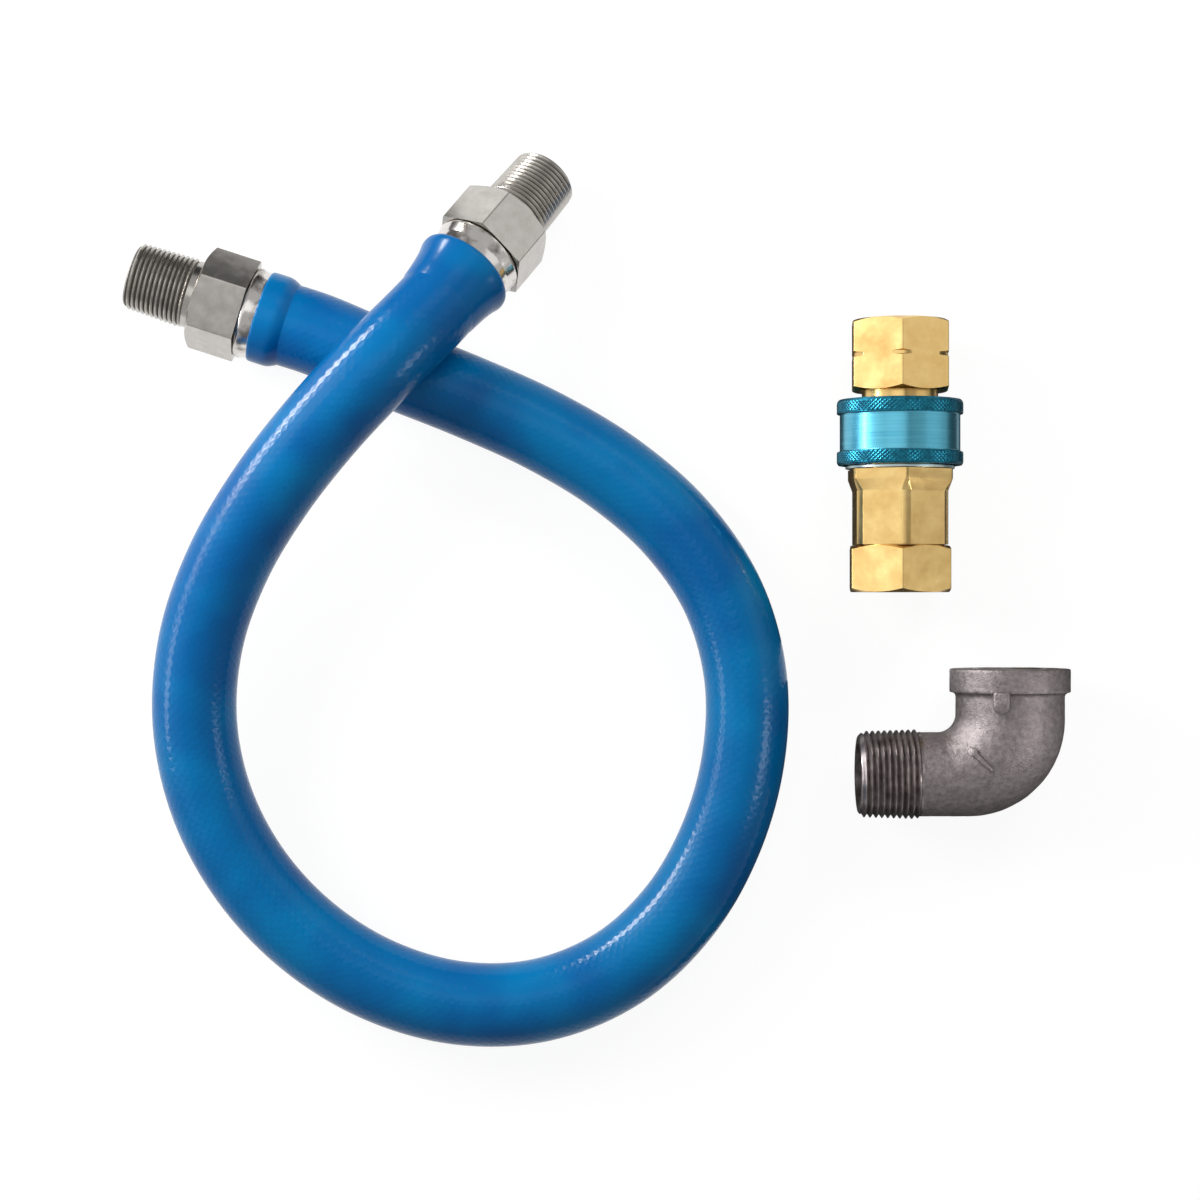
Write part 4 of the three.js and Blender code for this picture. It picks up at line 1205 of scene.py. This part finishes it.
for name, node, joint, radius, wire, low, high, kept_length in (
    ("coiled_sleeve_spring", "sleeve_spring", "sleeve_slide", 18.1, 1.5, 47.0, 59.1, 0.5),
    ("coiled_valve_spring", "poppet_spring", "valve_slide", 6.5, 1.2, 23.3, 30.9, 0.79),
):
    coil = wound_wire(radius * mm, wire * mm, spring_turns, low * mm, high * mm)
    spring = new_piece(
        name, coil, [spring_steel], "coupling_socket", node, 60, coupling_place,
    )
    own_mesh(spring)

inner_finishes = {
    "plug_seal": black_nitrile,
    "adapter_seal": black_nitrile,
    "poppet_seal": black_nitrile,
    "valve_poppet": bright_brass,
    "valve_guide": bright_brass,
}
for i in range(ball_count):
    inner_finishes[f"lock_ball_{i + 1}"] = hard_steel
for node, material in inner_finishes.items():
    for place in bpy.data.objects[node].material_slots:
        place.material = material


# ---------------------------------------------------------------- street elbow
# A malleable iron street elbow, sand cast and left black: a beaded female end, a bend, and a male end
# threaded on a lathe. A casting lug and a raised mark stand on its upper side.

elbow_place = Matrix.Translation((153.7 * mm, -64.8 * mm, 22.4 * mm))
female_length = 39.3 * mm
male_length = 56.4 * mm
band_radius = 22.4 * mm
band_height = 9 * mm
neck_radius = 20.2 * mm
bend_radius = 15.7 * mm
male_thread = 22.4 * mm
inner_fillet = 6.6 * mm
outer_bend = 35.8 * mm
way_radius = 11.5 * mm
way_bend = 16 * mm
lug_width = 5.6 * mm
lug_drop = 6.6 * mm
lug_turn = -17
lug_reach = 2.1 * mm
lug_back = female_length - band_height
casting_draft = 0.13 / mm
fine_sand = 0.5 / mm
coarse_sand = 0.17 / mm
cut_radius = 14 * mm
cut_depth = 20 * mm
mark_length = 11.5 * mm
mark_width = 2.0 * mm
mark_top = 20 * mm
mark_crest = 3.5 * mm
mark_curve = 0.032 / mm
one_inch_thread = {"outside": 33.4 * mm, "pitch": 2.209 * mm, "depth": 1.45 * mm}


def elbow_stations():
    """Circles along the bend, between its inner fillet and its outer curve."""
    inner_centre = Vector((-neck_radius - inner_fillet, bend_radius + inner_fillet, 0))
    outer_centre = Vector((neck_radius - outer_bend, outer_bend - bend_radius, 0))
    start = -male_length + male_thread - 1 * mm
    stations = [(Vector((start, 0, 0)), Vector((1, 0, 0)), bend_radius)]
    for i in range(25):
        angle = i / 24 * math.pi / 2
        swing = Vector((math.sin(angle), -math.cos(angle), 0))
        inner = inner_centre + swing * inner_fillet
        outer = outer_centre + swing * outer_bend
        reach = (outer - inner) / 2
        stations.append(((inner + outer) / 2, Vector((-reach.y, reach.x, 0)).normalized(), reach.length))
    stations.append((Vector((0, female_length - 4 * mm, 0)), Vector((0, 1, 0)), neck_radius))
    return stations


casting = bridged(elbow_stations(), 96)
band = round_bar(band_radius, -band_height, 0, 96)
to_female = Matrix.Translation((0, female_length, 0)) @ Matrix.Rotation(math.radians(-90), 4, "X")
bmesh.ops.transform(band, matrix=to_female, verts=band.verts)
casting = joined(casting, band, "UNION")
rough_data = bpy.data.meshes.new("rough_casting")
casting.to_mesh(rough_data)
casting.free()
rough_casting = bpy.data.objects.new("rough_casting", rough_data)
bpy.context.scene.collection.objects.link(rough_casting)
sand_grain = 0.65 * mm
skin = rough_casting.modifiers.new("one_skin", "REMESH")
skin.mode = "VOXEL"
skin.voxel_size = sand_grain
soften = rough_casting.modifiers.new("fillets", "SMOOTH")
soften.factor = 0.5
soften.iterations = 3
casting = bmesh.new()
casting.from_object(rough_casting, bpy.context.evaluated_depsgraph_get())
bpy.data.objects.remove(rough_casting)
bpy.data.meshes.remove(rough_data)
# the sand leaves bumps about 2 mm and 6 mm across, up to 0.1 mm high
for vert in casting.verts:
    grain = noise.noise(vert.co * fine_sand) * 0.05 * mm + noise.noise(vert.co * coarse_sand) * 0.07 * mm
    vert.co += vert.normal * (grain - 0.08 * mm)
bmesh.ops.recalc_face_normals(casting, faces=casting.faces)

lug = bmesh.new()
lug_height = neck_radius + lug_reach
bmesh.ops.create_cube(lug, size=1.0)
bmesh.ops.scale(lug, vec=(lug_width, lug_drop + 1 * mm, lug_height), verts=lug.verts)
bmesh.ops.translate(
    lug, vec=(0, female_length - band_height - lug_drop / 2 + 0.5 * mm, lug_height / 2), verts=lug.verts,
)
low_edges = [
    e for e in lug.edges
    if all(v.co.y < female_length - band_height - 1 * mm for v in e.verts)
    and abs(e.verts[0].co.z - e.verts[1].co.z) > 1 * mm
]
rounded_off(lug, low_edges, lug_width * 0.48, 6)
lug_rim = [e for e in lug.edges if all(v.co.z > lug_height - 0.1 * mm for v in e.verts)]
rounded_off(lug, lug_rim, 0.8 * mm, 3)
for vert in lug.verts:
    drawn = 1 + casting_draft * min(lug_height - vert.co.z, 3 * mm)
    vert.co.x *= drawn
    vert.co.y = lug_back + (vert.co.y - lug_back) * drawn
bmesh.ops.rotate(lug, matrix=Matrix.Rotation(math.radians(lug_turn), 3, "Y"), verts=lug.verts)
casting = joined(casting, lug, "UNION")
mark = bmesh.new()
bmesh.ops.create_cube(mark, size=1.0)
long_edges = [e for e in mark.edges if abs(e.verts[0].co.x - e.verts[1].co.x) > 0.5]
bmesh.ops.subdivide_edges(mark, edges=long_edges, cuts=7, use_grid_fill=True)
bmesh.ops.translate(mark, vec=(0, 0, 0.5), verts=mark.verts)
bmesh.ops.scale(mark, vec=(mark_length, mark_width, mark_top), verts=mark.verts)
top_edges = [
    e for e in mark.edges
    if all(v.co.z > mark_top / 2 for v in e.verts) and e.calc_face_angle() > 1
]
rounded_off(mark, top_edges, mark_width * 0.3, 3)
mark_head = turned_bar([
    (0, 0),
    (0.85 * mark_width, 0),
    (0.85 * mark_width, mark_top),
    (0.5 * mark_width, mark_top + 0.4 * mm),
    (0, mark_top + 0.4 * mm),
], 24)
head_place = (-mark_length / 2 + 0.7 * mark_width, 0, 0)
bmesh.ops.translate(mark_head, vec=head_place, verts=mark_head.verts)
mark = joined(mark, mark_head, "UNION")
# its top follows the curve of the bend, about 1.2 mm above it, and its tail narrows
for vert in mark.verts:
    if vert.co.z > mark_top / 2:
        vert.co.z -= mark_curve * (vert.co.x - mark_crest) ** 2
    if vert.co.x > 0:
        vert.co.y *= 1 - 0.6 * vert.co.x / mark_length
mark_place = Matrix.Translation((-13.2 * mm, 6.2 * mm, 0)) @ Matrix.Rotation(math.radians(-45), 4, "Z")
bmesh.ops.transform(mark, matrix=mark_place, verts=mark.verts)
casting = joined(casting, mark, "UNION")

male_end = threaded_bar(one_inch_thread, 0, male_thread + 1.2 * mm, 84)
male_start = Matrix.Translation((-male_length + male_thread + 1.2 * mm, 0, 0))
to_male = male_start @ Matrix.Rotation(math.radians(-90), 4, "Y")
bmesh.ops.transform(male_end, matrix=to_male, verts=male_end.verts)
casting = joined(casting, male_end, "UNION")

way_stations = [(Vector((-male_length - 1 * mm, 0, 0)), Vector((1, 0, 0)), way_radius)]
for i in range(17):
    angle = i / 16 * math.pi / 2
    centre = Vector((way_bend * (math.sin(angle) - 1), way_bend * (1 - math.cos(angle)), 0))
    way_stations.append((centre, Vector((math.cos(angle), math.sin(angle), 0)), way_radius))
way_stations.append((Vector((0, female_length - socket_depth + 1 * mm, 0)), Vector((0, 1, 0)), way_radius))
casting = joined(casting, bridged(way_stations, 64), "DIFFERENCE")
female_cutter = threaded_socket(0, -socket_depth)
bmesh.ops.transform(female_cutter, matrix=to_female, verts=female_cutter.verts)
casting = joined(casting, female_cutter, "DIFFERENCE")
for face in casting.faces:
    middle = face.calc_center_median()
    turned_thread = middle.x < -male_length + male_thread + 0.6 * mm
    inside = math.hypot(middle.x, middle.z) < cut_radius and middle.y > female_length - cut_depth
    face.material_index = 1 if turned_thread or inside else 0

# Sand-cast malleable iron with its annealing scale: warm dark grey, pebbled, with a dull shine.
cast_iron = finish(
    "black_malleable_iron", {"Metallic": 0.75},
    (0.45, 7.0, 0.7), ((0.3, "#6a6262"), (0.7, "#9b9292")), (0.44, 0.6),
)
# moulding sand of about 0.3 mm, drawn 0.7 mm across so that it shows
roughen(cast_iron, (1.4, 3.0, 0.6), 0.6, 0.00035)
# The same iron where the thread was cut: brighter and smoother, with a little dark oil.
cut_iron = finish(
    "machined_iron", {"Metallic": 0.9},
    (0.3, 4.0, 0.5), ((0.3, "#787070"), (0.7, "#a49c9a")), (0.25, 0.4),
)
new_piece(
    "cast_street_elbow", casting, [cast_iron, cut_iron], "elbow", "street_elbow",
    place=elbow_place,
)
